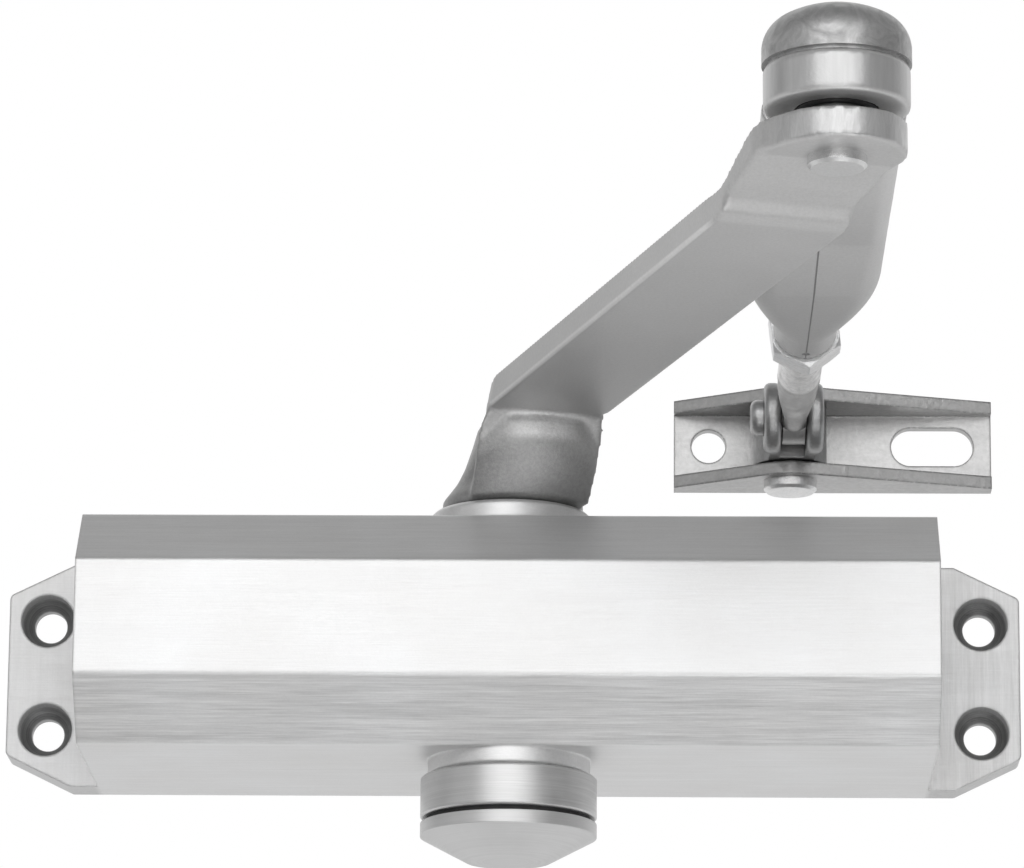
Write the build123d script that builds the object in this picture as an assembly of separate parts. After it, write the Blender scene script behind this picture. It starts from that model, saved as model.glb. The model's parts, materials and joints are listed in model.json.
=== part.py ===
from build123d import *
import math
import os

# Surface-mounted door closer with a scissor arm, in millimetres.
# The origin is the centre of the four screw holes on the face that lies on the door.
# X runs along the body, Y runs from the viewer into the door, Z is up.

# Body casting
BODY_LENGTH = 141.5
BODY_DEPTH = 55.0
BODY_HEIGHT = 38.8
FRONT_FACE_HEIGHT = 19.1
BEVEL_DEPTH = 10.1
BODY_EDGE_ROUND = 1.0

# Flange plates and screw holes
FLANGE_THICKNESS = 7.3
FLANGE_SHOULDER = 4.75
FLANGE_CORNER_ROUND = 1.2
HOLE_FROM_BODY = 9.25
HOLE_FROM_END = 6.65
HOLE_FROM_EDGE = 4.45
HOLE_SPACING_Z = 19.0
HOLE_DIAMETER = 5.6
HEAD_RECESS_DIAMETER = 9.2
HEAD_RECESS_DEPTH = 3.4

# Piston bore
BORE_DIAMETER = 30.0
PLUG_DIAMETER = 32.6
PLUG_LENGTH = 8.0
PLUG_SUNK = 0.4
PLUG_EDGE_CHAMFER = 0.8
PLUG_KEY_WIDTH = 12.0
PLUG_KEY_DEPTH = 4.5
PLUG_SEAL_WIDTH = 2.4
PLUG_SEAL_DEPTH = 2.0

# Pinion, standing across the bore
PINION_FROM_BORE = 3.7
TEETH = 9
MODULE = 1.75
PRESSURE_ANGLE = 20.0
TOOTH_BACKLASH = 0.14
TOOTH_ZONE_HEIGHT = 16.0
TOOTH_FOOT_SUNK = 0.4
RACK_SPACE_EXTRA = 0.2
CUT_OVERRUN = 0.01
JOURNAL_DIAMETER = 13.0
JOURNAL_BEYOND_BODY = 1.6
SQUARE_WIDTH = 9.4
SQUARE_CHAMFER = 1.0
SQUARE_BELOW_HUB = 0.5
PINION_BORE_DIAMETER = 23.2
RUNNING_CLEARANCE = 0.05
BEARING_GAP = 0.3
BEARING_HEIGHT = 3.4
SEAL_HEIGHT = 1.8
NUT_RECESS = 0.3
NUT_CLEARANCE = 0.6
NUT_SLOT_WIDTH = 2.4

# Round bosses above and below, and the parts under the lower one
BOSS_DIAMETER = 27.0
BOSS_HEIGHT = 3.0
BOSS_CHAMFER = 0.6
COLLAR_DIAMETER = 29.3
COLLAR_HEIGHT = 6.8
COLLAR_CHAMFER = 0.3
COLLAR_BORE = 18.0
GROOVE_DIAMETER = 27.2
GROOVE_HEIGHT = 0.9
CAP_RIM_HEIGHT = 2.1
CAP_CONE_HEIGHT = 4.1
CAP_FLAT_DIAMETER = 14.2
CAP_WALL = 1.6
CAP_SPIGOT_WALL = 1.0
CAP_SPIGOT_LENGTH = 4.0

# Piston, rack and spring
ARM_SWING_RANGE = 180.0
RACK_ADDENDUM = 1.0
RACK_END_MARGIN = 0.8
WINDOW_MARGIN = 0.6
PISTON_HEAD_LEFT = 9.0
PISTON_HEAD_RIGHT = 14.0
PISTON_SEAL_FROM_END = 4.0
PISTON_SEAL_WIDTH = 3.0
PISTON_SEAL_DEPTH = 1.8
SPRING_WIRE = 3.0
SPRING_OUTER_DIAMETER = 27.0
SPRING_COILS = 4
SPRING_END_GAP = 0.3
SPRING_SEAT_THICKNESS = 2.0
SPRING_SEAT_CLEARANCE = 0.5
BALL_DIAMETER = 4.0
BALL_LIFT = 1.0
BALL_SIDE_GAP = 0.3
RETAINER_THICKNESS = 1.5
RETAINER_HOLE = 1.6
PORT_DIAMETER = 2.4

# Valves in the right end face
VALVE_FROM_FRONT = 5.6
VALVE_FROM_BORE = 21.9
VALVE_SPACING = 9.6
VALVE_DIAMETER = 5.6
VALVE_LENGTH = 20.0
VALVE_RECESS = 0.6
VALVE_HOLE_SPARE = 0.3
VALVE_NEEDLE_LENGTH = 5.0
VALVE_NEEDLE_STEP = 1.0
VALVE_NEEDLE_TIP = 1.0
VALVE_SLOT_WIDTH = 1.0
VALVE_SLOT_DEPTH = 1.2
VALVE_RING_THICKNESS = 0.9
VALVE_RING_WIDTH = 1.8
VALVE_RING_FROM_TIP = 9.0

# Main arm, drawn along its own line from the pinion's axis
ARM_ANGLE = 18.4
ARM_REACH = 148.3
ARM_WIDTH = 20.5
ARM_SIDE_SHIFT = 0.55
ARM_THICKNESS = 4.5
HUB_GAP = 0.3
HUB_DIAMETER = 23.6
HUB_HEIGHT = 4.0
HUB_CHAMFER = 2.6
HUB_FLARE_HEIGHT = 5.0
HUB_FLARE_RUN = 2.2
WEB_TOP_FRONT = 17.5
WEB_SLOPE = 51.0
WEB_WIDTH = 21.8
WEB_THICKNESS = 3.2
WEB_SIDE_TAPER = 2.0
BARREL_FRONT = 12.0
BARREL_RADIUS = 32.0
BARREL_LEAN = 19.0
WASHER_ROOM = 0.5
STRIP_BOTTOM = 36.3
STEP_FROM_EYE = 16.9
STEP_RUN = 1.3
STEP_WALL = 2.2
STEP_LOWER_BEND = 3.0
STEP_UPPER_BEND = 2.2
STEP_SIDE_WITHIN_EYE = 0.1
STEP_NARROWING_LENGTH = 4.5
STEP_SIDE_ROUND = 5.0
EYE_OFFSET = 3.4
EYE_DIAMETER = 19.6
EYE_BOTTOM = 42.5
EYE_THICKNESS = 4.6
SCREW_DIAMETER = 6.0
SCREW_HEAD_WIDTH = 10.0
SCREW_HEAD_HEIGHT = 4.0
SCREW_LENGTH = 14.0
ARM_WASHER_DIAMETER = 14.0
ARM_WASHER_THICKNESS = 1.5

# Knuckle between the arms
SPACER_HEIGHT = 2.1
SPACER_DIAMETER = 9.3
RIVET_DIAMETER = 8.0
RIVET_END_DIAMETER = 8.7
RIVET_END_HEIGHT = 1.9
RIVET_END_CHAMFER = 0.5
RIVET_HEAD_DIAMETER = 14.0
RIVET_HEAD_HEIGHT = 2.2
KNUCKLE_CLEARANCE = 0.1
FOREARM_EYE_DIAMETER = 21.5
FOREARM_EYE_HEIGHT = 6.4
FOREARM_EYE_CHAMFER = 0.3
BUSH_DIAMETER = 12.0
DOME_GAP = 0.45
DOME_GAP_DIAMETER = 20.5
DOME_DIAMETER = 21.9
DOME_HEIGHT = 9.0
DOME_SIDE_HEIGHT = 2.3
DOME_SHOULDER_RADIUS = 5.2
DOME_WALL = 1.4

# Forearm, a tube rolled from sheet
FOREARM_WIDTH = 21.4
FOREARM_SHEET = 1.45
FLATTENED_FROM_EYE = 3.0
SHOULDER_LENGTH = 23.0
SHOULDER_STATIONS = 6
TUBE_DIAMETER = 10.2
TUBE_FLATTENING = 0.2
TUBE_LENGTH = 7.0
SEAM_BEFORE_SHOULDER = 18.0
SEAM_WIDTH = 0.3
SEAM_HOLE_DIAMETER = 1.0
SEAM_HOLE_FROM_END = 2.0

# Rod, nut and yoke
ROD_DIAMETER = 7.2
ROD_INSERTED = 20.0
ROD_SHOWN = 45.3
ROD_END_CHAMFER = 0.8
NUT_ACROSS_FLATS = 11.0
NUT_THICKNESS = 5.0
NUT_CORNER_LOSS = 0.8
NUT_TURN = -7.0
NECK_DIAMETER = 6.8
NECK_LENGTH = 21.6
NECK_ROUND_LENGTH = 4.3
NECK_TAPER_LENGTH = 8.7
TONGUE_THICKNESS = 3.8
TONGUE_DIAMETER = 9.0
YOKE_REACH = 13.4
YOKE_EAR_THICKNESS = 2.9
YOKE_EAR_DIAMETER = 12.0
YOKE_EAR_ROUND = 1.1
YOKE_GAP = 4.3
YOKE_GAP_WALL = 0.6
YOKE_HUB_DIAMETER = 12.6
YOKE_CLEARANCE = 0.3
YOKE_RIVET_DIAMETER = 4.0
YOKE_RIVET_HEAD_DIAMETER = 6.2
YOKE_RIVET_HEAD_HEIGHT = 2.3
YOKE_RIVET_HEAD_ROUND = 1.3

# Shoe bracket
SHOE_PIN_X = 47.5
SHOE_PIN_FROM_FRAME = 8.5
SHOE_LEFT = 20.0
SHOE_RIGHT = 35.0
SHOE_MIDDLE_HEIGHT = 42.1
SHOE_HEIGHT = 15.5
SHOE_SHEET = 2.2
SHOE_APEX_RADIUS = 5.9
SHOE_END_DEPTH = 3.6
SHOE_HOLE_FROM_PIN = 14.0
SHOE_HOLE_DIAMETER = 5.9
SHOE_SLOT_FROM_PIN = 24.8
SHOE_SLOT_LENGTH = 14.2
SHOE_SLOT_WIDTH = 6.8
SHOE_PIN_DIAMETER = 5.0
SHOE_PIN_HEAD_DIAMETER = 9.1
SHOE_PIN_HEAD_HEIGHT = 2.0
SHOE_PIN_HEAD_CHAMFER = 0.5
SHOE_PIN_TAIL_DIAMETER = 7.0
SHOE_PIN_TAIL_HEIGHT = 1.0
SHOE_PIN_TAIL_CHAMFER = 0.4

# Values worked out from the ones above
HALF_HEIGHT = BODY_HEIGHT / 2
VALVE_FROM_DOOR = BODY_DEPTH - VALVE_FROM_FRONT
BORE_FROM_DOOR = VALVE_FROM_DOOR - VALVE_FROM_BORE
PINION_FROM_DOOR = BORE_FROM_DOOR + PINION_FROM_BORE
HOLE_SPACING_X = BODY_LENGTH + 2 * HOLE_FROM_BODY
FLANGE_LENGTH = HOLE_SPACING_X + 2 * HOLE_FROM_END
FLANGE_FULL_LENGTH = BODY_LENGTH + 2 * FLANGE_SHOULDER
FLANGE_EDGE_HEIGHT = HOLE_SPACING_Z + 2 * HOLE_FROM_EDGE
BOSS_TOP = HALF_HEIGHT + BOSS_HEIGHT
PITCH_RADIUS = MODULE * TEETH / 2
TIP_RADIUS = PITCH_RADIUS + MODULE
ROOT_RADIUS = PITCH_RADIUS - 1.25 * MODULE
RACK_LINE = -PINION_FROM_DOOR + PITCH_RADIUS
STROKE = math.radians(ARM_SWING_RANGE) * PITCH_RADIUS
WINDOW_START = -TIP_RADIUS - WINDOW_MARGIN
WINDOW_END = STROKE + TIP_RADIUS + WINDOW_MARGIN
PISTON_START = WINDOW_START - PISTON_HEAD_LEFT
PISTON_END = WINDOW_END + PISTON_HEAD_RIGHT
PISTON_SEAL_END = PISTON_END - PISTON_SEAL_FROM_END
BALL_SEATED = math.sqrt(BALL_DIAMETER**2 - PORT_DIAMETER**2) / 2 + RUNNING_CLEARANCE
BALL_SPACE = BALL_SEATED + BALL_DIAMETER / 2 + BALL_LIFT + RUNNING_CLEARANCE
BALL_CHAMBER_DEPTH = BALL_SPACE + RETAINER_THICKNESS
PLUG_FACE = BODY_LENGTH / 2 - PLUG_LENGTH
HUB_BOTTOM = BOSS_TOP + HUB_GAP
HUB_TOP = HUB_BOTTOM + HUB_HEIGHT
SQUARE_TOP = HUB_TOP - SQUARE_BELOW_HUB
STEP_START = ARM_REACH - STEP_FROM_EYE
EYE_TOP = EYE_BOTTOM + EYE_THICKNESS
FOREARM_EYE_BOTTOM = EYE_TOP + SPACER_HEIGHT + KNUCKLE_CLEARANCE
FOREARM_EYE_TOP = FOREARM_EYE_BOTTOM + FOREARM_EYE_HEIGHT
FOREARM_MIDDLE = FOREARM_EYE_BOTTOM + FOREARM_EYE_HEIGHT / 2
COLLAR_TOP = -BOSS_TOP
COLLAR_BOTTOM = COLLAR_TOP - COLLAR_HEIGHT
CAP_TOP = COLLAR_BOTTOM - GROOVE_HEIGHT
BEARING_LOW = BORE_DIAMETER / 2 + BEARING_GAP
SEAL_LOW = BEARING_LOW + BEARING_HEIGHT
NUT_LOW = SEAL_LOW + SEAL_HEIGHT

# The main arm's own frame: X along the arm, Y to its side
ARM_FRAME = Location((0, -PINION_FROM_DOOR, 0), (0, 0, ARM_ANGLE - 90))
KNUCKLE = (ARM_FRAME * Location((ARM_REACH, EYE_OFFSET, 0))).position
SHOE_PIN_Y = -SHOE_PIN_FROM_FRAME
FOREARM_LENGTH = math.hypot(SHOE_PIN_X - KNUCKLE.X, SHOE_PIN_Y - KNUCKLE.Y)
FOREARM_TURN = math.degrees(math.atan2(SHOE_PIN_Y - KNUCKLE.Y, SHOE_PIN_X - KNUCKLE.X))
# The forearm's level frame at the knuckle, and the sloping frame of its tube and rod
FOREARM_FRAME = Location((KNUCKLE.X, KNUCKLE.Y, 0), (0, 0, FOREARM_TURN))
YOKE_PIN_ALONG = FOREARM_LENGTH - YOKE_REACH
FOREARM_DROP = FOREARM_MIDDLE - SHOE_MIDDLE_HEIGHT
FOREARM_SLOPE = math.degrees(math.atan2(FOREARM_DROP, YOKE_PIN_ALONG))
SLOPE_FRAME = FOREARM_FRAME * Location((0, 0, FOREARM_MIDDLE), (0, FOREARM_SLOPE, 0))
ROD_PIN_ALONG = math.hypot(YOKE_PIN_ALONG, FOREARM_DROP)
TUBE_END = ROD_PIN_ALONG - ROD_SHOWN
SHOULDER_END = TUBE_END - TUBE_LENGTH
SHOULDER_START = SHOULDER_END - SHOULDER_LENGTH
SEAM_START = SHOULDER_START - SEAM_BEFORE_SHOULDER
YOKE_WIDTH = YOKE_GAP + 2 * YOKE_EAR_THICKNESS


def cylinder_between(radius, low, high, x=0.0, y=0.0):
    """Upright cylinder from one height to another."""
    return Pos(x, y, (low + high) / 2) * Cylinder(radius, high - low)


def ring_between(outer, inner, low, high, x=0.0, y=0.0):
    """Upright ring from one height to another."""
    return cylinder_between(outer, low, high, x, y) - cylinder_between(inner, low - 1, high + 1, x, y)


def bar_along_x(radius, start, end, y, z):
    """Cylinder lying along X."""
    return Pos((start + end) / 2, y, z) * Rot(0, 90, 0) * Cylinder(radius, end - start)


def housing():
    """Body casting with its flange plates, bosses, bores and screw holes."""
    section = [
        (0, -HALF_HEIGHT),
        (-BODY_DEPTH + BEVEL_DEPTH, -HALF_HEIGHT),
        (-BODY_DEPTH, -FRONT_FACE_HEIGHT / 2),
        (-BODY_DEPTH, FRONT_FACE_HEIGHT / 2),
        (-BODY_DEPTH + BEVEL_DEPTH, HALF_HEIGHT),
        (0, HALF_HEIGHT),
    ]
    body = extrude(Plane.YZ * make_face(Polyline(*section, close=True)), BODY_LENGTH / 2, both=True)
    front_edges = body.edges().filter_by(Axis.X).sort_by(Axis.Y)[:4]
    body = fillet(front_edges, BODY_EDGE_ROUND)
    half = FLANGE_LENGTH / 2
    full = FLANGE_FULL_LENGTH / 2
    edge = FLANGE_EDGE_HEIGHT / 2
    outline = [
        (-half, -edge),
        (-full, -HALF_HEIGHT),
        (full, -HALF_HEIGHT),
        (half, -edge),
        (half, edge),
        (full, HALF_HEIGHT),
        (-full, HALF_HEIGHT),
        (-half, edge),
    ]
    flange = extrude(Plane.XZ * make_face(Polyline(*outline, close=True)), FLANGE_THICKNESS)
    flange = fillet(flange.edges().filter_by(Axis.Y), FLANGE_CORNER_ROUND)
    body += flange
    boss = cylinder_between(BOSS_DIAMETER / 2, -BOSS_TOP, BOSS_TOP, 0, -PINION_FROM_DOOR)
    body += chamfer(boss.edges().filter_by(GeomType.CIRCLE), BOSS_CHAMFER)
    body -= bar_along_x(BORE_DIAMETER / 2, -BODY_LENGTH, BODY_LENGTH, -BORE_FROM_DOOR, 0)
    for side in (-1, 1):
        seat = bar_along_x(PLUG_DIAMETER / 2, PLUG_FACE, BODY_LENGTH, -BORE_FROM_DOOR, 0)
        body -= seat if side == 1 else mirror(seat, Plane.YZ)
    body -= cylinder_between(PINION_BORE_DIAMETER / 2, -BOSS_TOP - 1, BOSS_TOP + 1, 0, -PINION_FROM_DOOR)
    for z in (-VALVE_SPACING / 2, VALVE_SPACING / 2):
        start = BODY_LENGTH / 2 - VALVE_RECESS - VALVE_LENGTH - VALVE_HOLE_SPARE
        radius = VALVE_DIAMETER / 2 + RUNNING_CLEARANCE
        body -= bar_along_x(radius, start, BODY_LENGTH, -VALVE_FROM_DOOR, z)
    for x in (-HOLE_SPACING_X / 2, HOLE_SPACING_X / 2):
        for z in (-HOLE_SPACING_Z / 2, HOLE_SPACING_Z / 2):
            body -= screw_hole(x, z)
    return body


def screw_hole(x, z):
    """Through hole with a deep recess for the screw's head, open to the front."""
    recess = HEAD_RECESS_DIAMETER / 2
    hole = HOLE_DIAMETER / 2
    cone = recess - hole
    profile = [
        (0, -1),
        (hole, -1),
        (hole, FLANGE_THICKNESS - HEAD_RECESS_DEPTH - cone),
        (recess, FLANGE_THICKNESS - HEAD_RECESS_DEPTH),
        (recess, FLANGE_THICKNESS + 1),
        (0, FLANGE_THICKNESS + 1),
    ]
    cutter = revolve(Plane.XZ * make_face(Polyline(*profile, close=True)), Axis.Z)
    return Pos(x, 0, z) * Rot(90, 0, 0) * cutter


def end_plug(side):
    """Screwed plug in one end of the bore, with a hexagon key socket."""
    outer = BODY_LENGTH / 2 - PLUG_SUNK
    neck_end = PLUG_FACE + PLUG_SEAL_WIDTH
    neck = PLUG_DIAMETER / 2 - PLUG_SEAL_DEPTH
    plug = bar_along_x(PLUG_DIAMETER / 2, neck_end, outer, -BORE_FROM_DOOR, 0)
    plug += bar_along_x(neck, PLUG_FACE, neck_end, -BORE_FROM_DOOR, 0)
    plug = chamfer(plug.edges().filter_by(GeomType.CIRCLE).sort_by(Axis.X)[-1], PLUG_EDGE_CHAMFER)
    key = extrude(RegularPolygon(PLUG_KEY_WIDTH / 2, 6, major_radius=False), PLUG_KEY_DEPTH + 1)
    plug -= Pos(outer - PLUG_KEY_DEPTH, -BORE_FROM_DOOR, 0) * Rot(0, 90, 0) * key
    return plug if side == 1 else mirror(plug, Plane.YZ)


def plug_seals():
    """Sealing ring behind each end plug."""
    end = PLUG_FACE + PLUG_SEAL_WIDTH
    neck = PLUG_DIAMETER / 2 - PLUG_SEAL_DEPTH
    ring = bar_along_x(PLUG_DIAMETER / 2, PLUG_FACE, end, -BORE_FROM_DOOR, 0)
    ring -= bar_along_x(neck, PLUG_FACE - 1, end + 1, -BORE_FROM_DOOR, 0)
    return Compound(children=[ring.solid(), mirror(ring, Plane.YZ).solid()])


def mirrored_pair(part):
    """A piece and its mirror image below the body's middle."""
    return Compound(children=[part.solid(), mirror(part, Plane.XY).solid()])


def pinion_bearings():
    """Plain bearing bush above and below the teeth."""
    inner = JOURNAL_DIAMETER / 2 + RUNNING_CLEARANCE
    outer = PINION_BORE_DIAMETER / 2
    ring = ring_between(outer, inner, BEARING_LOW, SEAL_LOW, 0, -PINION_FROM_DOOR)
    return mirrored_pair(ring)


def shaft_seals():
    """Shaft seal outside each bearing."""
    inner = JOURNAL_DIAMETER / 2 + RUNNING_CLEARANCE
    outer = PINION_BORE_DIAMETER / 2
    ring = ring_between(outer, inner, SEAL_LOW, NUT_LOW, 0, -PINION_FROM_DOOR)
    return mirrored_pair(ring)


def bearing_nuts():
    """Threaded ring that closes each boss, with two key slots."""
    high = BOSS_TOP - NUT_RECESS
    inner = JOURNAL_DIAMETER / 2 + NUT_CLEARANCE
    outer = PINION_BORE_DIAMETER / 2
    nut = ring_between(outer, inner, NUT_LOW, high, 0, -PINION_FROM_DOOR)
    for side in (-1, 1):
        slot = Box(NUT_SLOT_WIDTH, NUT_SLOT_WIDTH, high - NUT_LOW)
        nut -= Pos(side * (outer + inner) / 2, -PINION_FROM_DOOR, high) * slot
    return mirrored_pair(nut)


def involute_point(radius, base):
    """Angle by which an involute has turned at a radius."""
    roll = math.acos(base / radius)
    return math.tan(roll) - roll


def pinion_tooth_section():
    """Outline of the pinion's toothed zone."""
    base = PITCH_RADIUS * math.cos(math.radians(PRESSURE_ANGLE))
    half_pitch_angle = math.pi / (2 * TEETH) - TOOTH_BACKLASH / 2 / PITCH_RADIUS
    start = half_pitch_angle + involute_point(PITCH_RADIUS, base)
    radii = [base + (TIP_RADIUS - base) * step / 4 for step in range(5)]
    section = Circle(ROOT_RADIUS)
    for tooth in range(TEETH):
        middle = 2 * math.pi * tooth / TEETH
        upper = []
        lower = []
        for radius in radii:
            half = start - involute_point(radius, base)
            upper.append((radius * math.cos(middle + half), radius * math.sin(middle + half)))
            lower.append((radius * math.cos(middle - half), radius * math.sin(middle - half)))
        inner = ROOT_RADIUS - TOOTH_FOOT_SUNK
        foot_up = (inner * math.cos(middle + start), inner * math.sin(middle + start))
        foot_low = (inner * math.cos(middle - start), inner * math.sin(middle - start))
        flank_up = Spline(*upper)
        flank_low = Spline(*lower)
        outline = [
            Line(foot_up, upper[0]),
            flank_up,
            Line(upper[-1], lower[-1]),
            flank_low,
            Line(lower[0], foot_low),
            Line(foot_low, foot_up),
        ]
        section += make_face(outline)
    return section


def pinion():
    """Pinion shaft with its teeth in the middle and a square at each end."""
    half_zone = TOOTH_ZONE_HEIGHT / 2
    # A tooth space faces the rack, which lies straight behind the axis
    turn = 90 + 180 / TEETH
    teeth = extrude(Rot(0, 0, turn) * pinion_tooth_section(), half_zone, both=True)
    journal_end = HALF_HEIGHT + JOURNAL_BEYOND_BODY
    shaft = teeth + cylinder_between(JOURNAL_DIAMETER / 2, -journal_end, journal_end)
    lower_end = -(COLLAR_HEIGHT + BOSS_TOP)
    square = Box(SQUARE_WIDTH, SQUARE_WIDTH, SQUARE_TOP - lower_end)
    square = chamfer(square.edges().filter_by(Axis.Z), SQUARE_CHAMFER)
    shaft += Pos(0, 0, (SQUARE_TOP + lower_end) / 2) * square
    hole_bottom = HUB_TOP + ARM_WASHER_THICKNESS - SCREW_LENGTH
    shaft -= cylinder_between(SCREW_DIAMETER / 2, hole_bottom, HUB_TOP + 1)
    return Pos(0, -PINION_FROM_DOOR, 0) * shaft


def rack_cutter():
    """Row of spaces between rack teeth, cut into the window's rear wall."""
    pitch = math.pi * MODULE
    slope = math.tan(math.radians(PRESSURE_ANGLE))
    root = RACK_LINE + 1.25 * MODULE + RACK_SPACE_EXTRA
    tip = RACK_LINE - RACK_ADDENDUM
    count = math.ceil((WINDOW_END - WINDOW_START) / pitch) + 1
    spaces = []
    for number in range(-count, count + 1):
        middle = (number + 0.5) * pitch
        half_root = pitch / 4 - slope * (root - RACK_LINE)
        half_tip = pitch / 4 + slope * RACK_ADDENDUM
        if middle - half_tip < WINDOW_START + RACK_END_MARGIN:
            continue
        if middle + half_tip > WINDOW_END - RACK_END_MARGIN:
            continue
        corners = [
            (middle - half_tip - CUT_OVERRUN * slope, tip - CUT_OVERRUN),
            (middle - half_root, root),
            (middle + half_root, root),
            (middle + half_tip + CUT_OVERRUN * slope, tip - CUT_OVERRUN),
        ]
        spaces.append(make_face(Polyline(*corners, close=True)))
    return spaces


def piston():
    """Piston with the rack in a window along one side."""
    radius = BORE_DIAMETER / 2 - RUNNING_CLEARANCE
    body = bar_along_x(radius, PISTON_START, PISTON_END, -BORE_FROM_DOOR, 0)
    tip = RACK_LINE - RACK_ADDENDUM
    front = -BORE_FROM_DOOR - BORE_DIAMETER
    window = Box(WINDOW_END - WINDOW_START, tip - front, 2 * BORE_DIAMETER)
    body -= Pos((WINDOW_START + WINDOW_END) / 2, (tip + front) / 2, 0) * window
    for space in rack_cutter():
        body -= extrude(space, BORE_DIAMETER, both=True)
    groove_start = PISTON_SEAL_END - PISTON_SEAL_WIDTH
    core = radius - PISTON_SEAL_DEPTH
    groove = bar_along_x(radius + 1, groove_start, PISTON_SEAL_END, -BORE_FROM_DOOR, 0)
    groove -= bar_along_x(core, groove_start - 1, PISTON_SEAL_END + 1, -BORE_FROM_DOOR, 0)
    body -= groove
    body -= bar_along_x(PORT_DIAMETER / 2, WINDOW_END - 1, PISTON_END + 1, -BORE_FROM_DOOR, 0)
    chamber = BALL_DIAMETER / 2 + BALL_SIDE_GAP
    body -= bar_along_x(chamber, PISTON_END - BALL_CHAMBER_DEPTH, PISTON_END + 1, -BORE_FROM_DOOR, 0)
    return body


def piston_seal():
    """Sealing ring in the piston's groove."""
    radius = BORE_DIAMETER / 2 - RUNNING_CLEARANCE
    start = PISTON_SEAL_END - PISTON_SEAL_WIDTH
    core = radius - PISTON_SEAL_DEPTH
    ring = bar_along_x(radius, start, PISTON_SEAL_END, -BORE_FROM_DOOR, 0)
    return ring - bar_along_x(core, start - 1, PISTON_SEAL_END + 1, -BORE_FROM_DOOR, 0)


def check_ball():
    """Ball of the check valve in the piston's head, on its seat."""
    x = PISTON_END - BALL_CHAMBER_DEPTH + BALL_SEATED
    return Pos(x, -BORE_FROM_DOOR, 0) * Sphere(BALL_DIAMETER / 2)


def check_retainer():
    """Drilled disc that keeps the ball in its chamber."""
    radius = BALL_DIAMETER / 2 + BALL_SIDE_GAP
    disc = bar_along_x(radius, PISTON_END - RETAINER_THICKNESS, PISTON_END, -BORE_FROM_DOOR, 0)
    return disc - bar_along_x(RETAINER_HOLE / 2, WINDOW_END, PISTON_END + 1, -BORE_FROM_DOOR, 0)


def closing_spring():
    """Compression spring between its seat and the piston."""
    start = -PLUG_FACE + SPRING_SEAT_THICKNESS
    length = PISTON_START - start
    mean = (SPRING_OUTER_DIAMETER - SPRING_WIRE) / 2
    rise = length - SPRING_WIRE - 2 * SPRING_END_GAP
    path = Helix(pitch=rise / SPRING_COILS, height=rise, radius=mean)
    wire = Plane(origin=path @ 0, z_dir=path % 0) * Circle(SPRING_WIRE / 2)
    coil = sweep(wire, path=path, is_frenet=True)
    return Pos(start + SPRING_WIRE / 2 + SPRING_END_GAP, -BORE_FROM_DOOR, 0) * Rot(0, 90, 0) * coil


def spring_seat():
    """Disc between the left plug and the spring."""
    radius = BORE_DIAMETER / 2 - SPRING_SEAT_CLEARANCE
    return bar_along_x(radius, -PLUG_FACE, -PLUG_FACE + SPRING_SEAT_THICKNESS, -BORE_FROM_DOOR, 0)


def valve(z):
    """Speed valve: a slotted needle in the right end face."""
    outer = BODY_LENGTH / 2 - VALVE_RECESS
    inner = outer - VALVE_LENGTH
    radius = VALVE_DIAMETER / 2
    body = bar_along_x(radius, inner + VALVE_NEEDLE_LENGTH, outer, -VALVE_FROM_DOOR, z)
    needle = Cone(radius - VALVE_NEEDLE_STEP, VALVE_NEEDLE_TIP / 2, VALVE_NEEDLE_LENGTH)
    needle_middle = inner + VALVE_NEEDLE_LENGTH / 2
    body += Pos(needle_middle, -VALVE_FROM_DOOR, z) * Rot(0, -90, 0) * needle
    start = inner + VALVE_RING_FROM_TIP
    end = start + VALVE_RING_WIDTH
    groove = bar_along_x(radius + 1, start, end, -VALVE_FROM_DOOR, z)
    groove -= bar_along_x(radius - VALVE_RING_THICKNESS, start - 1, end + 1, -VALVE_FROM_DOOR, z)
    body -= groove
    slot = Box(2 * VALVE_SLOT_DEPTH, 2 * VALVE_DIAMETER, VALVE_SLOT_WIDTH)
    return body - Pos(outer, -VALVE_FROM_DOOR, z) * slot


def valve_ring(z):
    """Sealing ring on a speed valve."""
    start = BODY_LENGTH / 2 - VALVE_RECESS - VALVE_LENGTH + VALVE_RING_FROM_TIP
    end = start + VALVE_RING_WIDTH
    radius = VALVE_DIAMETER / 2
    ring = bar_along_x(radius, start, end, -VALVE_FROM_DOOR, z)
    return ring - bar_along_x(radius - VALVE_RING_THICKNESS, start - 1, end + 1, -VALVE_FROM_DOOR, z)


def spindle_collar():
    """Round collar under the lower boss."""
    ring = ring_between(COLLAR_DIAMETER / 2, COLLAR_BORE / 2, COLLAR_BOTTOM, COLLAR_TOP, 0, -PINION_FROM_DOOR)
    outer = ring.edges().filter_by(GeomType.CIRCLE).filter_by(
        lambda edge: edge.radius > COLLAR_BORE / 2 + 1
    )
    return chamfer(outer, COLLAR_CHAMFER)


def groove_seal():
    """Black ring between the collar and the cap."""
    return ring_between(
        GROOVE_DIAMETER / 2, COLLAR_BORE / 2, CAP_TOP, COLLAR_BOTTOM, 0, -PINION_FROM_DOOR
    )


def spindle_cap():
    """Hollow cone-shaped cap over the pinion's lower end, with a spigot in the collar."""
    rim = COLLAR_DIAMETER / 2
    flat = CAP_FLAT_DIAMETER / 2
    spigot = COLLAR_BORE / 2
    inside = spigot - CAP_SPIGOT_WALL
    bottom = CAP_TOP - CAP_RIM_HEIGHT - CAP_CONE_HEIGHT
    profile = [
        (inside, CAP_TOP + CAP_SPIGOT_LENGTH),
        (spigot, CAP_TOP + CAP_SPIGOT_LENGTH),
        (spigot, CAP_TOP),
        (rim, CAP_TOP),
        (rim, CAP_TOP - CAP_RIM_HEIGHT),
        (flat, bottom),
        (0, bottom),
        (0, bottom + CAP_WALL),
        (inside, bottom + CAP_WALL + 1.0),
    ]
    cap = revolve(Plane.XZ * make_face(Polyline(*profile, close=True)), Axis.Z)
    return Pos(0, -PINION_FROM_DOOR, 0) * cap


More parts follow.
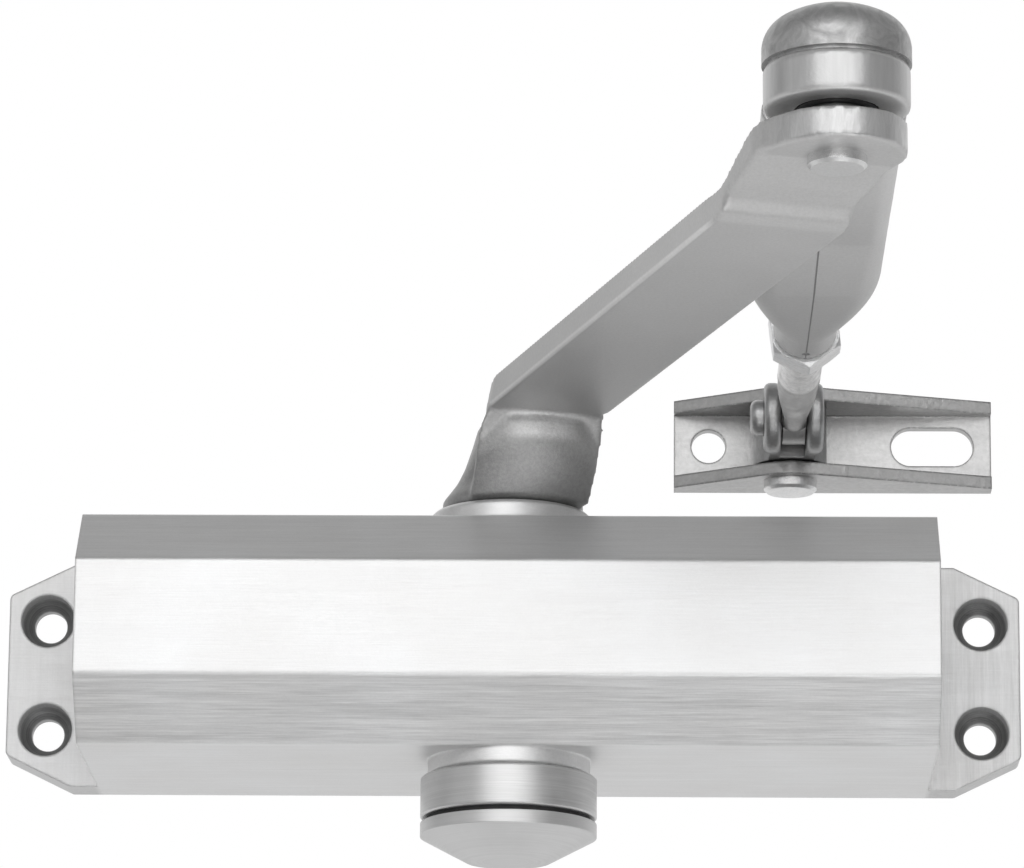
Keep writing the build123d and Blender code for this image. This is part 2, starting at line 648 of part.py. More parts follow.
def arm_step_section():
    """Side view of the strip, the step and the eye."""
    strip_top = STRIP_BOTTOM + ARM_THICKNESS
    end = ARM_REACH + EYE_DIAMETER
    wall = STEP_START - STEP_WALL
    profile = [
        (0, STRIP_BOTTOM),
        (STEP_START, STRIP_BOTTOM),
        (STEP_START + STEP_RUN, EYE_BOTTOM),
        (end, EYE_BOTTOM),
        (end, EYE_TOP),
        (wall + STEP_RUN, EYE_TOP),
        (wall, strip_top),
        (0, strip_top),
    ]
    bends = [STEP_LOWER_BEND, STEP_LOWER_BEND, 0, 0, STEP_UPPER_BEND, STEP_UPPER_BEND]
    bottom_and_top = FilletPolyline(*profile, radius=bends)
    return Plane.XZ * make_face(bottom_and_top + Line(profile[-1], profile[0]))


def arm_outline():
    """Strip and eye seen from above, with the strip's left side drawn in at the step."""
    left = ARM_SIDE_SHIFT - ARM_WIDTH / 2
    right = ARM_SIDE_SHIFT + ARM_WIDTH / 2
    narrow_end = STEP_START - STEP_WALL + STEP_RUN
    narrow_start = narrow_end - STEP_NARROWING_LENGTH
    narrowed = EYE_OFFSET - EYE_DIAMETER / 2 + STEP_SIDE_WITHIN_EYE
    sides = [
        (0, left),
        (narrow_start, left),
        (narrow_end, narrowed),
        (narrow_end + 1, narrowed),
        (narrow_end + 1, right),
        (0, right),
    ]
    strip = make_face(Polyline(*sides, close=True))
    eye = Pos(ARM_REACH, EYE_OFFSET) * Circle(EYE_DIAMETER / 2)
    end = Line((narrow_end, narrowed), (narrow_end, right))
    outline = strip + make_hull([end, eye.edge()])
    corners = [v for v in outline.vertices() if v.Y < 0 and narrow_start - 1 < v.X < narrow_end + 0.5]
    return fillet(corners, STEP_SIDE_ROUND)


def arm_web():
    """Sloping web between the strip and the hub, thickened in front by a leaning barrel."""
    slope = math.radians(WEB_SLOPE)
    height = STRIP_BOTTOM - HUB_BOTTOM
    down = (-math.cos(slope), 0, -math.sin(slope))
    top = Plane(origin=(WEB_TOP_FRONT, ARM_SIDE_SHIFT, STRIP_BOTTOM), x_dir=(0, 1, 0), z_dir=down)
    half = WEB_WIDTH / 2
    section = [
        (-half, 0),
        (half, 0),
        (half - WEB_SIDE_TAPER, -WEB_THICKNESS),
        (-half + WEB_SIDE_TAPER, -WEB_THICKNESS),
    ]
    plate = extrude(top * make_face(Polyline(*section, close=True)), 2 * height, both=True)
    lean = math.radians(BARREL_LEAN)
    axis = BARREL_FRONT - BARREL_RADIUS / math.cos(lean)
    barrel = Cylinder(BARREL_RADIUS, 4 * height)
    barrel = Pos(axis, ARM_SIDE_SHIFT, HUB_BOTTOM) * Rot(0, BARREL_LEAN, 0) * barrel
    # The barrel is kept in front of the plate's rear face and within its sides
    section = [
        (-half, WEB_TOP_FRONT),
        (half, WEB_TOP_FRONT),
        (half, 0),
        (half - WEB_SIDE_TAPER, -WEB_THICKNESS),
        (-half + WEB_SIDE_TAPER, -WEB_THICKNESS),
        (-half, 0),
    ]
    room = extrude(top * make_face(Polyline(*section, close=True)), 2 * height, both=True)
    level = extrude(Pos(0, 0, HUB_BOTTOM) * Rectangle(4 * WEB_TOP_FRONT, 2 * WEB_WIDTH), height)
    return (plate + (barrel & room)) & level


def strip_end():
    """Block that keeps the strip in front of the web's rear face."""
    slope = math.radians(WEB_SLOPE)
    rear = WEB_TOP_FRONT - WEB_THICKNESS / math.sin(slope)
    bottom = STRIP_BOTTOM - ARM_THICKNESS
    top = STRIP_BOTTOM + 4 * ARM_THICKNESS
    section = [
        (rear + (bottom - STRIP_BOTTOM) / math.tan(slope), bottom),
        (2 * ARM_REACH, bottom),
        (2 * ARM_REACH, top),
        (rear + (top - STRIP_BOTTOM) / math.tan(slope), top),
    ]
    return extrude(Plane.XZ * make_face(Polyline(*section, close=True)), 2 * ARM_WIDTH, both=True)


def arm_hub():
    """Round hub with a thin edge, and a flare that runs up into the web."""
    hub = cylinder_between(HUB_DIAMETER / 2, HUB_BOTTOM, HUB_TOP)
    hub = chamfer(hub.edges().filter_by(GeomType.CIRCLE).sort_by(Axis.Z)[-1], HUB_CHAMFER)
    low = HUB_DIAMETER / 2 - HUB_CHAMFER
    flare = Pos(0, 0, HUB_TOP + HUB_FLARE_HEIGHT / 2) * Cone(low, low - HUB_FLARE_RUN, HUB_FLARE_HEIGHT)
    front = Pos(HUB_DIAMETER / 2, 0, HUB_TOP) * Box(HUB_DIAMETER, HUB_DIAMETER, 4 * HUB_FLARE_HEIGHT)
    return hub + (flare & front)


def main_arm():
    """Forged arm: hub on the pinion's square, sloping web, strip, and a stepped-up eye."""
    strip = extrude(arm_step_section(), 2 * ARM_WIDTH, both=True)
    strip = strip & extrude(arm_outline(), 2 * EYE_TOP) & strip_end()
    arm = strip + arm_web() + arm_hub()
    washer_room = ARM_WASHER_DIAMETER / 2 + WASHER_ROOM
    arm -= cylinder_between(washer_room, HUB_TOP, 2 * EYE_TOP)
    square = Box(SQUARE_WIDTH, SQUARE_WIDTH, 3 * HUB_HEIGHT)
    square = chamfer(square.edges().filter_by(Axis.Z), SQUARE_CHAMFER)
    arm -= Pos(0, 0, HUB_BOTTOM) * Rot(0, 0, 90 - ARM_ANGLE) * square
    arm -= cylinder_between(RIVET_DIAMETER / 2, EYE_BOTTOM - 1, EYE_TOP + 1, ARM_REACH, EYE_OFFSET)
    return ARM_FRAME * arm


def arm_washer():
    """Washer on the hub."""
    return ring_between(
        ARM_WASHER_DIAMETER / 2,
        SCREW_DIAMETER / 2,
        HUB_TOP,
        HUB_TOP + ARM_WASHER_THICKNESS,
        0,
        -PINION_FROM_DOOR,
    )


def arm_screw():
    """Hexagon screw that holds the arm on the pinion."""
    seat = HUB_TOP + ARM_WASHER_THICKNESS
    head = extrude(RegularPolygon(SCREW_HEAD_WIDTH / 2, 6, major_radius=False), SCREW_HEAD_HEIGHT)
    shank = cylinder_between(SCREW_DIAMETER / 2, seat - SCREW_LENGTH, seat)
    return Pos(0, -PINION_FROM_DOOR, 0) * (Pos(0, 0, seat) * head + shank)


def knuckle_rivet():
    """Rivet of the knuckle, headed under the cap and closed below the eye."""
    low = EYE_BOTTOM - RIVET_END_HEIGHT
    head = FOREARM_EYE_TOP + KNUCKLE_CLEARANCE
    rivet = cylinder_between(RIVET_END_DIAMETER / 2, low, EYE_BOTTOM)
    rivet = chamfer(rivet.edges().filter_by(GeomType.CIRCLE).sort_by(Axis.Z)[0], RIVET_END_CHAMFER)
    rivet += cylinder_between(RIVET_DIAMETER / 2, EYE_BOTTOM, head)
    rivet += cylinder_between(RIVET_HEAD_DIAMETER / 2, head, head + RIVET_HEAD_HEIGHT)
    return Pos(KNUCKLE.X, KNUCKLE.Y, 0) * rivet


def knuckle_spacer():
    """Spacer washer between the two eyes."""
    return ring_between(
        SPACER_DIAMETER / 2, RIVET_DIAMETER / 2, EYE_TOP, EYE_TOP + SPACER_HEIGHT, KNUCKLE.X, KNUCKLE.Y
    )


def knuckle_bush():
    """Plain bush in the forearm's eye."""
    return ring_between(
        BUSH_DIAMETER / 2,
        RIVET_DIAMETER / 2 + RUNNING_CLEARANCE,
        FOREARM_EYE_BOTTOM,
        FOREARM_EYE_TOP,
        KNUCKLE.X,
        KNUCKLE.Y,
    )


def dome_form(shrink):
    """Domed form on the plane Z = 0, made smaller by an even wall."""
    radius = DOME_DIAMETER / 2 - shrink
    height = DOME_HEIGHT - shrink
    shoulder = DOME_SHOULDER_RADIUS - shrink
    across = radius - shoulder
    up = height - DOME_SIDE_HEIGHT
    # The crown's arc runs on from the shoulder's without a crease
    crown = (across**2 + up**2 - shoulder**2) / (2 * (up - shoulder))
    tangent = math.atan2(DOME_SIDE_HEIGHT - height + crown, across)
    halfway = tangent + (math.pi / 2 - tangent) / 2

    def on_shoulder(angle):
        return (across + shoulder * math.cos(angle), DOME_SIDE_HEIGHT + shoulder * math.sin(angle))

    def on_crown(angle):
        return (crown * math.cos(angle), height - crown + crown * math.sin(angle))

    outline = [
        Line((0, 0), (radius, 0)),
        Line((radius, 0), (radius, DOME_SIDE_HEIGHT)),
        ThreePointArc((radius, DOME_SIDE_HEIGHT), on_shoulder(tangent / 2), on_shoulder(tangent)),
        ThreePointArc(on_shoulder(tangent), on_crown(halfway), (0, height)),
        Line((0, height), (0, 0)),
    ]
    return revolve(Plane.XZ * make_face(outline), Axis.Z)


def knuckle_cap():
    """Hollow domed cap that stands on the forearm's eye with a narrow step."""
    low = FOREARM_EYE_TOP + DOME_GAP
    step = cylinder_between(DOME_GAP_DIAMETER / 2, FOREARM_EYE_TOP, low)
    room = cylinder_between(DOME_DIAMETER / 2 - DOME_WALL, FOREARM_EYE_TOP, low)
    cap = Pos(0, 0, low) * (dome_form(0) - dome_form(DOME_WALL)) + (step - room)
    return Pos(KNUCKLE.X, KNUCKLE.Y, 0) * cap


def tube_section(along, width, height):
    """Section across the forearm at one place along it."""
    plane = Plane(origin=(along, 0, 0), x_dir=(0, 1, 0), z_dir=(1, 0, 0))
    return plane * SlotOverall(width, height)


def tube_loft(grow):
    """The forearm's outer form, or its hollow when it is drawn smaller."""
    start = FOREARM_EYE_DIAMETER / 2 - FLATTENED_FROM_EYE
    wide = FOREARM_WIDTH + 2 * grow
    flat = FOREARM_EYE_HEIGHT + 2 * grow
    round_height = TUBE_DIAMETER + 2 * grow
    round_width = round_height + TUBE_FLATTENING
    shoulder = []
    for station in range(SHOULDER_STATIONS + 1):
        share = station / SHOULDER_STATIONS
        width = round_width + (wide - round_width) * math.cos(share * math.pi / 2)
        shoulder.append(tube_section(SHOULDER_START + share * SHOULDER_LENGTH, width, round_height))
    flattened = loft([tube_section(start, wide, flat), tube_section(SEAM_START, wide, flat)])
    swelling = loft([tube_section(SEAM_START, wide, flat), shoulder[0]])
    tube = loft([shoulder[-1], tube_section(TUBE_END, round_width, round_height)])
    return flattened + swelling + loft(shoulder) + tube


def forearm():
    """Forearm rolled from sheet: eye, flattened tube, round tube with an open seam below."""
    tube = SLOPE_FRAME * tube_loft(0)
    hollow = SLOPE_FRAME * tube_loft(-FOREARM_SHEET)
    eye = cylinder_between(FOREARM_EYE_DIAMETER / 2, FOREARM_EYE_BOTTOM, FOREARM_EYE_TOP)
    eye = chamfer(eye.edges().filter_by(GeomType.CIRCLE), FOREARM_EYE_CHAMFER)
    eye = Pos(KNUCKLE.X, KNUCKLE.Y, 0) * eye
    level = FOREARM_FRAME * Pos(FOREARM_LENGTH / 2, 0, FOREARM_MIDDLE) * Box(
        FOREARM_LENGTH, 2 * FOREARM_WIDTH, 6 * FOREARM_EYE_HEIGHT
    )
    hollow = hollow & level
    body = eye + (tube - hollow)
    end = ROD_PIN_ALONG
    seam = Pos((SEAM_START + end) / 2, 0, -TUBE_DIAMETER / 2) * Box(
        end - SEAM_START, SEAM_WIDTH, TUBE_DIAMETER
    )
    body -= SLOPE_FRAME * seam
    hole = Pos(TUBE_END - SEAM_HOLE_FROM_END, 0, -TUBE_DIAMETER / 2) * Cylinder(
        SEAM_HOLE_DIAMETER / 2, TUBE_DIAMETER
    )
    body -= SLOPE_FRAME * hole
    body -= cylinder_between(
        BUSH_DIAMETER / 2, FOREARM_EYE_BOTTOM - 1, FOREARM_EYE_TOP + 1, KNUCKLE.X, KNUCKLE.Y
    )
    return body


def lock_nut():
    """Hexagon nut with turned-off corners, against the tube's end."""
    nut = extrude(RegularPolygon(NUT_ACROSS_FLATS / 2, 6, major_radius=False), NUT_THICKNESS)
    corner = NUT_ACROSS_FLATS / 2 / math.cos(math.pi / 6)
    loss = NUT_CORNER_LOSS * (corner - NUT_ACROSS_FLATS / 2)
    turned = cylinder_between(corner, 0, NUT_THICKNESS)
    nut &= chamfer(turned.edges().filter_by(GeomType.CIRCLE), loss)
    nut -= cylinder_between(ROD_DIAMETER / 2 + RUNNING_CLEARANCE, -1, NUT_THICKNESS + 1)
    return SLOPE_FRAME * Pos(TUBE_END, 0, 0) * Rot(0, 90, 0) * Rot(0, 0, NUT_TURN) * nut


def adjusting_rod():
    """Threaded rod whose end narrows to a flat eye."""
    start = TUBE_END - ROD_INSERTED
    neck = ROD_PIN_ALONG - NECK_LENGTH
    rod = bar_along_x(ROD_DIAMETER / 2, start, neck, 0, 0)
    rod = chamfer(rod.edges().filter_by(GeomType.CIRCLE).sort_by(Axis.X)[0], ROD_END_CHAMFER)
    wide = NECK_DIAMETER / 2
    flat = TONGUE_THICKNESS / 2
    taper_start = neck + NECK_ROUND_LENGTH
    taper_end = taper_start + NECK_TAPER_LENGTH
    taper = [
        (neck - 1, -wide),
        (taper_start, -wide),
        (taper_end, -flat),
        (ROD_PIN_ALONG, -flat),
        (ROD_PIN_ALONG, flat),
        (taper_end, flat),
        (taper_start, wide),
        (neck - 1, wide),
    ]
    between = extrude(make_face(Polyline(*taper, close=True)), ROD_DIAMETER, both=True)
    rod += between & bar_along_x(wide, neck - 1, ROD_PIN_ALONG, 0, 0)
    rod += Pos(ROD_PIN_ALONG, 0, 0) * Rot(90, 0, 0) * Cylinder(TONGUE_DIAMETER / 2, TONGUE_THICKNESS)
    hole = Cylinder(YOKE_RIVET_DIAMETER / 2 + RUNNING_CLEARANCE, ROD_DIAMETER)
    rod -= Pos(ROD_PIN_ALONG, 0, 0) * Rot(90, 0, 0) * hole
    return SLOPE_FRAME * rod


def yoke():
    """Yoke: a hub that turns in the shoe and two rounded ears that hold the rod's eye."""
    inside = SHOE_HEIGHT - 2 * SHOE_SHEET - 2 * YOKE_CLEARANCE
    hub = Circle(YOKE_HUB_DIAMETER / 2)
    hub += Pos(YOKE_REACH / 2, 0) * Rectangle(YOKE_REACH, YOKE_WIDTH - 2 * YOKE_EAR_ROUND)
    body = extrude(hub, inside / 2, both=True)
    ear = Cylinder(YOKE_EAR_DIAMETER / 2, YOKE_EAR_THICKNESS)
    ear = fillet(ear.edges().filter_by(GeomType.CIRCLE), YOKE_EAR_ROUND)
    middle = (YOKE_GAP + YOKE_EAR_THICKNESS) / 2
    gap_start = YOKE_HUB_DIAMETER / 2 + YOKE_GAP_WALL
    gap_length = YOKE_REACH + YOKE_EAR_DIAMETER - gap_start
    body -= Pos(gap_start + gap_length / 2, 0, 0) * Box(gap_length, YOKE_GAP, 2 * YOKE_EAR_DIAMETER)
    for side in (-middle, middle):
        body += Pos(YOKE_REACH, side, 0) * Rot(90, 0, 0) * ear
    body -= cylinder_between(SHOE_PIN_DIAMETER / 2 + RUNNING_CLEARANCE, -inside, inside)
    hole = Cylinder(YOKE_RIVET_DIAMETER / 2, 2 * YOKE_WIDTH)
    body -= Pos(YOKE_REACH, 0, 0) * Rot(90, 0, 0) * hole
    return yoke_frame() * body


def yoke_frame():
    """Frame at the shoe's pin, with X towards the knuckle."""
    return Location((SHOE_PIN_X, SHOE_PIN_Y, SHOE_MIDDLE_HEIGHT), (0, 0, FOREARM_TURN + 180))


def yoke_rivet():
    """Cross rivet through the ears and the rod's eye, with a round head on the left ear."""
    low = YOKE_WIDTH / 2
    high = low + YOKE_RIVET_HEAD_HEIGHT
    rivet = Cylinder(YOKE_RIVET_DIAMETER / 2, YOKE_WIDTH)
    head = cylinder_between(YOKE_RIVET_HEAD_DIAMETER / 2, low, high)
    rivet += fillet(head.edges().filter_by(GeomType.CIRCLE).sort_by(Axis.Z)[-1], YOKE_RIVET_HEAD_ROUND)
    return yoke_frame() * Pos(YOKE_REACH, 0, 0) * Rot(90, 0, 0) * rivet


def shoe_bracket():
    """Channel-shaped shoe with a round hole and a slot in its base."""
    depth = SHOE_PIN_FROM_FRAME + SHOE_APEX_RADIUS
    low = SHOE_MIDDLE_HEIGHT - SHOE_HEIGHT / 2
    apex = Pos(SHOE_PIN_X, -SHOE_PIN_FROM_FRAME) * Circle(SHOE_APEX_RADIUS)
    left = SHOE_PIN_X - SHOE_LEFT
    right = SHOE_PIN_X + SHOE_RIGHT
    base_line = Polyline((left, -SHOE_END_DEPTH), (left, 0), (right, 0), (right, -SHOE_END_DEPTH))
    outline = make_hull([*base_line.edges(), apex.edge()])
    body = extrude(Pos(0, 0, low) * outline, SHOE_HEIGHT)
    room = Box(2 * (SHOE_LEFT + SHOE_RIGHT), 2 * depth, SHOE_HEIGHT - 2 * SHOE_SHEET)
    body -= Pos(SHOE_PIN_X, -SHOE_SHEET - depth, SHOE_MIDDLE_HEIGHT) * room
    hole = Rot(90, 0, 0) * Cylinder(SHOE_HOLE_DIAMETER / 2, 4 * SHOE_SHEET)
    body -= Pos(SHOE_PIN_X - SHOE_HOLE_FROM_PIN, 0, SHOE_MIDDLE_HEIGHT) * hole
    slot = extrude(SlotOverall(SHOE_SLOT_LENGTH, SHOE_SLOT_WIDTH), 2 * SHOE_SHEET, both=True)
    body -= Pos(SHOE_PIN_X + SHOE_SLOT_FROM_PIN, 0, SHOE_MIDDLE_HEIGHT) * Rot(90, 0, 0) * slot
    body -= cylinder_between(
        SHOE_PIN_DIAMETER / 2, low - 1, low + SHOE_HEIGHT + 1, SHOE_PIN_X, -SHOE_PIN_FROM_FRAME
    )
    return body


def shoe_pin():
    """Upright pin of the shoe, headed below and closed above."""
    low = SHOE_MIDDLE_HEIGHT - SHOE_HEIGHT / 2
    high = low + SHOE_HEIGHT
    pin = cylinder_between(SHOE_PIN_DIAMETER / 2, low, high)
    head = cylinder_between(SHOE_PIN_HEAD_DIAMETER / 2, low - SHOE_PIN_HEAD_HEIGHT, low)
    pin += chamfer(head.edges().filter_by(GeomType.CIRCLE).sort_by(Axis.Z)[0], SHOE_PIN_HEAD_CHAMFER)
    tail = cylinder_between(SHOE_PIN_TAIL_DIAMETER / 2, high, high + SHOE_PIN_TAIL_HEIGHT)
    pin += chamfer(tail.edges().filter_by(GeomType.CIRCLE).sort_by(Axis.Z)[-1], SHOE_PIN_TAIL_CHAMFER)
    return Pos(SHOE_PIN_X, -SHOE_PIN_FROM_FRAME, 0) * pin


NODES = {
    "housing": housing(),
    "spring_end_plug": end_plug(-1),
    "valve_end_plug": end_plug(1),
    "plug_seals": plug_seals(),
    "pinion_bearings": pinion_bearings(),
    "shaft_seals": shaft_seals(),
    "bearing_nuts": bearing_nuts(),
    "spring_seat": spring_seat(),
    "spindle_collar": spindle_collar(),
    "groove_seal": groove_seal(),
    "spindle_cap": spindle_cap(),
    "closing_valve": valve(VALVE_SPACING / 2),
    "closing_valve_ring": valve_ring(VALVE_SPACING / 2),
    "latching_valve": valve(-VALVE_SPACING / 2),
    "latching_valve_ring": valve_ring(-VALVE_SPACING / 2),
    "closing_spring": closing_spring(),
    "piston": piston(),
    "piston_seal": piston_seal(),
    "check_ball": check_ball(),
    "check_retainer": check_retainer(),
    "pinion": pinion(),
    "main_arm": main_arm(),
    "arm_washer": arm_washer(),
    "arm_screw": arm_screw(),
    "knuckle_rivet": knuckle_rivet(),
    "knuckle_spacer": knuckle_spacer(),
    "knuckle_bush": knuckle_bush(),
    "knuckle_cap": knuckle_cap(),
    "forearm": forearm(),
    "lock_nut": lock_nut(),
    "adjusting_rod": adjusting_rod(),
    "yoke": yoke(),
    "yoke_rivet": yoke_rivet(),
    "shoe_bracket": shoe_bracket(),
    "shoe_pin": shoe_pin(),
}

os.makedirs("parts", exist_ok=True)
for node, shape in NODES.items():
    export_step(shape, f"parts/{node}.step")
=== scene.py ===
import json
import math

import bmesh
import bpy
from mathutils import Matrix, Vector

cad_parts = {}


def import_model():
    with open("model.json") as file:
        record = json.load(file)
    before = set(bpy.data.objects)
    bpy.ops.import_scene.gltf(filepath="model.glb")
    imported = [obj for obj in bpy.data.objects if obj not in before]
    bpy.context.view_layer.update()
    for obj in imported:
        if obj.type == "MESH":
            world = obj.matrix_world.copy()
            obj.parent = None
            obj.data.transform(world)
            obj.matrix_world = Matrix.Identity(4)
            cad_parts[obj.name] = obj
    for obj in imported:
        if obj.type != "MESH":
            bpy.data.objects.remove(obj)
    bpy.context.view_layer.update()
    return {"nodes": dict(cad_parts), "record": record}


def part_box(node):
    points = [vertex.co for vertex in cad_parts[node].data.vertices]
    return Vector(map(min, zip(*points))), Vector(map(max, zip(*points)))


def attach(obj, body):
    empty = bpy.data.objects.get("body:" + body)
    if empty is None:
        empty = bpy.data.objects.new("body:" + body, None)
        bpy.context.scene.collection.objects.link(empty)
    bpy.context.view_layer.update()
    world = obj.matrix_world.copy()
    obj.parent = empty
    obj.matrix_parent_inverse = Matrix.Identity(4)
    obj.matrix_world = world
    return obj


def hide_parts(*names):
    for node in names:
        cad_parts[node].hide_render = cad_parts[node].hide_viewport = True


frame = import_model()
MM = 0.001

# Where things are, read from the frame
HOLES = next(m for m in frame["record"]["mounts"] if m["name"] == "door_screws")
PINION_AXIS = (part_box("spindle_collar")[0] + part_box("spindle_collar")[1]) / 2
KNUCKLE_AXIS = (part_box("knuckle_spacer")[0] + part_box("knuckle_spacer")[1]) / 2
BODY_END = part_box("valve_end_plug")[1].x
ARM_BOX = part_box("main_arm")
RECESS_RADIUS_MM = 4.6
RECESS_FACE_MM = 7.25

# The forged arm, in millimetres along the arm, to its right and up
ARM_ANGLE = math.radians(18.4)
ARM_WAY = (math.sin(ARM_ANGLE), -math.cos(ARM_ANGLE), 0)
ARM_SIDE = (math.cos(ARM_ANGLE), math.sin(ARM_ANGLE), 0)
ARM_LEFT = -9.7
ARM_RIGHT = 10.8
STRIP_BOTTOM = 36.3
STRIP_TOP = 40.8
RAMP_START = 131.0
RAMP_END = 146.0
EYE_RADIUS = 10.2
EYE_BOTTOM = 42.45
EYE_TOP = ARM_BOX[1].z * 1000
TOP_RAMP_END = RAMP_END + 1.5
STRIP_SECTIONS = 112
STEP_SECTIONS_FROM = 126.0
STEP_SECTION_LENGTH = 0.5
STEP_SECTIONS = 51
POINTS_PER_SIDE = 8
SLANT_FROM = 13.0
SLANT_TO = 30.0

# The height of the strip's underside and the places of its two sides, each by distance along
STEP_UNDER = [
    (131.6, STRIP_BOTTOM), (134, 36.9), (136, 38.95), (137.2, 39.5), (140, 40.1), (146, EYE_BOTTOM),
]
NECK_LEFT = [
    (13, -8.8), (19, ARM_LEFT), (126, ARM_LEFT), (136, -9.3), (145, -8.6), (148, -7.9), (151, -6.4),
]
NECK_RIGHT = [
    (13, 8.6), (16, 9.8), (20, ARM_RIGHT), (136, ARM_RIGHT), (146, 12.6), (148, 12.6), (151, 9.0),
]

# The hub's wall: inward from its radius, above its foot, and forward
HUB_BOTTOM = ARM_BOX[0].z * 1000
HUB_RADIUS = 11.8
HUB_HEIGHT = 4.0
HUB_ASIDE = 0.3
HUB_PROFILE = [
    (0.0, 0.0, 0.0),
    (0.0, 1.8, 0.0),
    (1.2, 3.3, 0.0),
    (2.2, 4.8, 0.6),
    (3.0, 7.0, 2.2),
    (3.4, 10.0, 5.0),
    (3.6, 13.0, 8.0),
]

# The web: a slope, with a leaning barrel on its front
WEB_HALF_WIDTH = 10.9
WEB_SLOPE = math.radians(51)
WEB_TOP_FRONT = 17.5
WEB_DEPTH = 4.1
WEB_RAISED = 0.6
WEB_ASIDE = 0.55
WEB_NARROWER_BELOW = 0.5
WEB_NARROWER_ABOVE = 0.6
WEB_NARROWS_FROM = 32.5
WEB_BACK_SHARE = 0.85
WEB_SECTIONS = 40
WEB_POINTS = 32
BARREL_FOOT = 12.0
BARREL_TOP = 18.4
BARREL_RADIUS = 15.5
CREST = 0.86
CREST_FALL = 35.0
DROOP = 13.0
DROOP_FROM_SIDE = 0.45
DROOP_FROM_HEIGHT = 0.5

# Room for what goes into the arm, and how its skin is made
SQUARE_ROOM = 6.1
SHAFT_ROOM = 7.5
RIVET_ROOM = 4.0
OVERRUN = 1.0
VOXEL = 0.00042
FOREARM_VOXEL = 0.00048
WELD = 0.000001
SMOOTHING = 0.5
ARM_SMOOTHINGS = 7
FOREARM_SMOOTHINGS = 3
MACHINED_FROM = EYE_RADIUS - 1.5
MACHINED_TO = EYE_RADIUS + 0.3
MACHINED_SOFTNESS = 0.12

# Masks on the arm, for its forged skin, a brightened edge, painted highlights, painted shade and its
# turned wall, in millimetres, each from where a mask is 0 to where it is 1
SKIN_REACH = (24, 18)
EDGE_REACH = (0.5, 0.2)
EDGE_ALONG = (16, 20)
EDGE_STOP = (RAMP_START, RAMP_START - 4)
RIDGE_REACH = (1.2, 0.4)
RIDGE_SIDES = (9, 5)
HIGHLIGHT_HEAD_HEIGHT = 33.4
HIGHLIGHT_HEAD_REACH = (2.4, 0.6)
HIGHLIGHT_HEAD_SIDES = (7.5, 2.0)
FOOT_SHADE_HEIGHTS = (32.5, 28.5)
WALL_INNER = (EYE_RADIUS - 0.35, EYE_RADIUS - 0.15)
WALL_OUTER = (EYE_RADIUS + 0.3, EYE_RADIUS + 0.15)
WALL_LOWER = (EYE_BOTTOM + 0.2, EYE_BOTTOM + 0.5)
WALL_UPPER = (EYE_TOP - 0.1, EYE_TOP - 0.3)

# The forearm, in millimetres
FOREARM_EYE_RADIUS = 11.3
FOREARM_WAY = (-0.0156, 0.9999)
FOREARM_WALL_END = 6.0
FOREARM_PAINTED_LIGHT = (30, 75)
SEAM_FROM_EYE = 50.0
SEAM_FADE = 4.0
SEAM_SIDES = (0.16, 0.08)
SEAM_HOLE_FROM_EYE = 101.2
SEAM_HOLE_EDGE = (0.75, 0.55)

# The rod is darkened as painted shade over a short way beyond its shoulder, in millimetres
ROD_SHOULDER = (-46.0, -46.0 + 1.2)

# The photograph's camera
CAMERA_PLACE = Vector((0.02176, -0.94773, -0.19867))
CAMERA_YAW = math.radians(-1.311)
CAMERA_PITCH = math.radians(14.405)
CAMERA_ROLL = math.radians(0.492)
CAMERA_LENS = 197.28
CAMERA_SHIFT_X = -0.0044

# Light, in metres and watts
WORLD_LEVEL = 0.27
WORLD_BEHIND = 0.5
WORLD_ABOVE = 0.03
LAMPS = [
    # Name, place, aim, width, height and power
    ("front_lamp", (0.0, -1.9, 0.75), (0, 0, 0.02), 2.6, 1.1, 16.9),
    ("middle_lamp", (0.0, -1.9, -0.22), (0, 0, 0.03), 1.4, 0.45, 4.6),
    ("left_lamp", (-1.8, -0.9, 0.3), (0, 0, 0), 1.6, 1.6, 2.8),
    ("low_lamp", (0.15, -0.5, -0.58), (0.04, -0.12, 0.04), 0.7, 0.5, 2.6),
]
FLOOR_HEIGHT = -0.62
FLOOR_SIZE = 9.0
FLOOR_COLOUR = (0.86, 0.86, 0.87, 1)

# The floor in reflections: from one place to another in depth, and from one strength to another
FLOOR_RISE = (-0.75, 0.35, 0.12, 0.95)
FLOOR_FADE = (0.8, 2.4, 1.0, 0.8)


# Shader trees

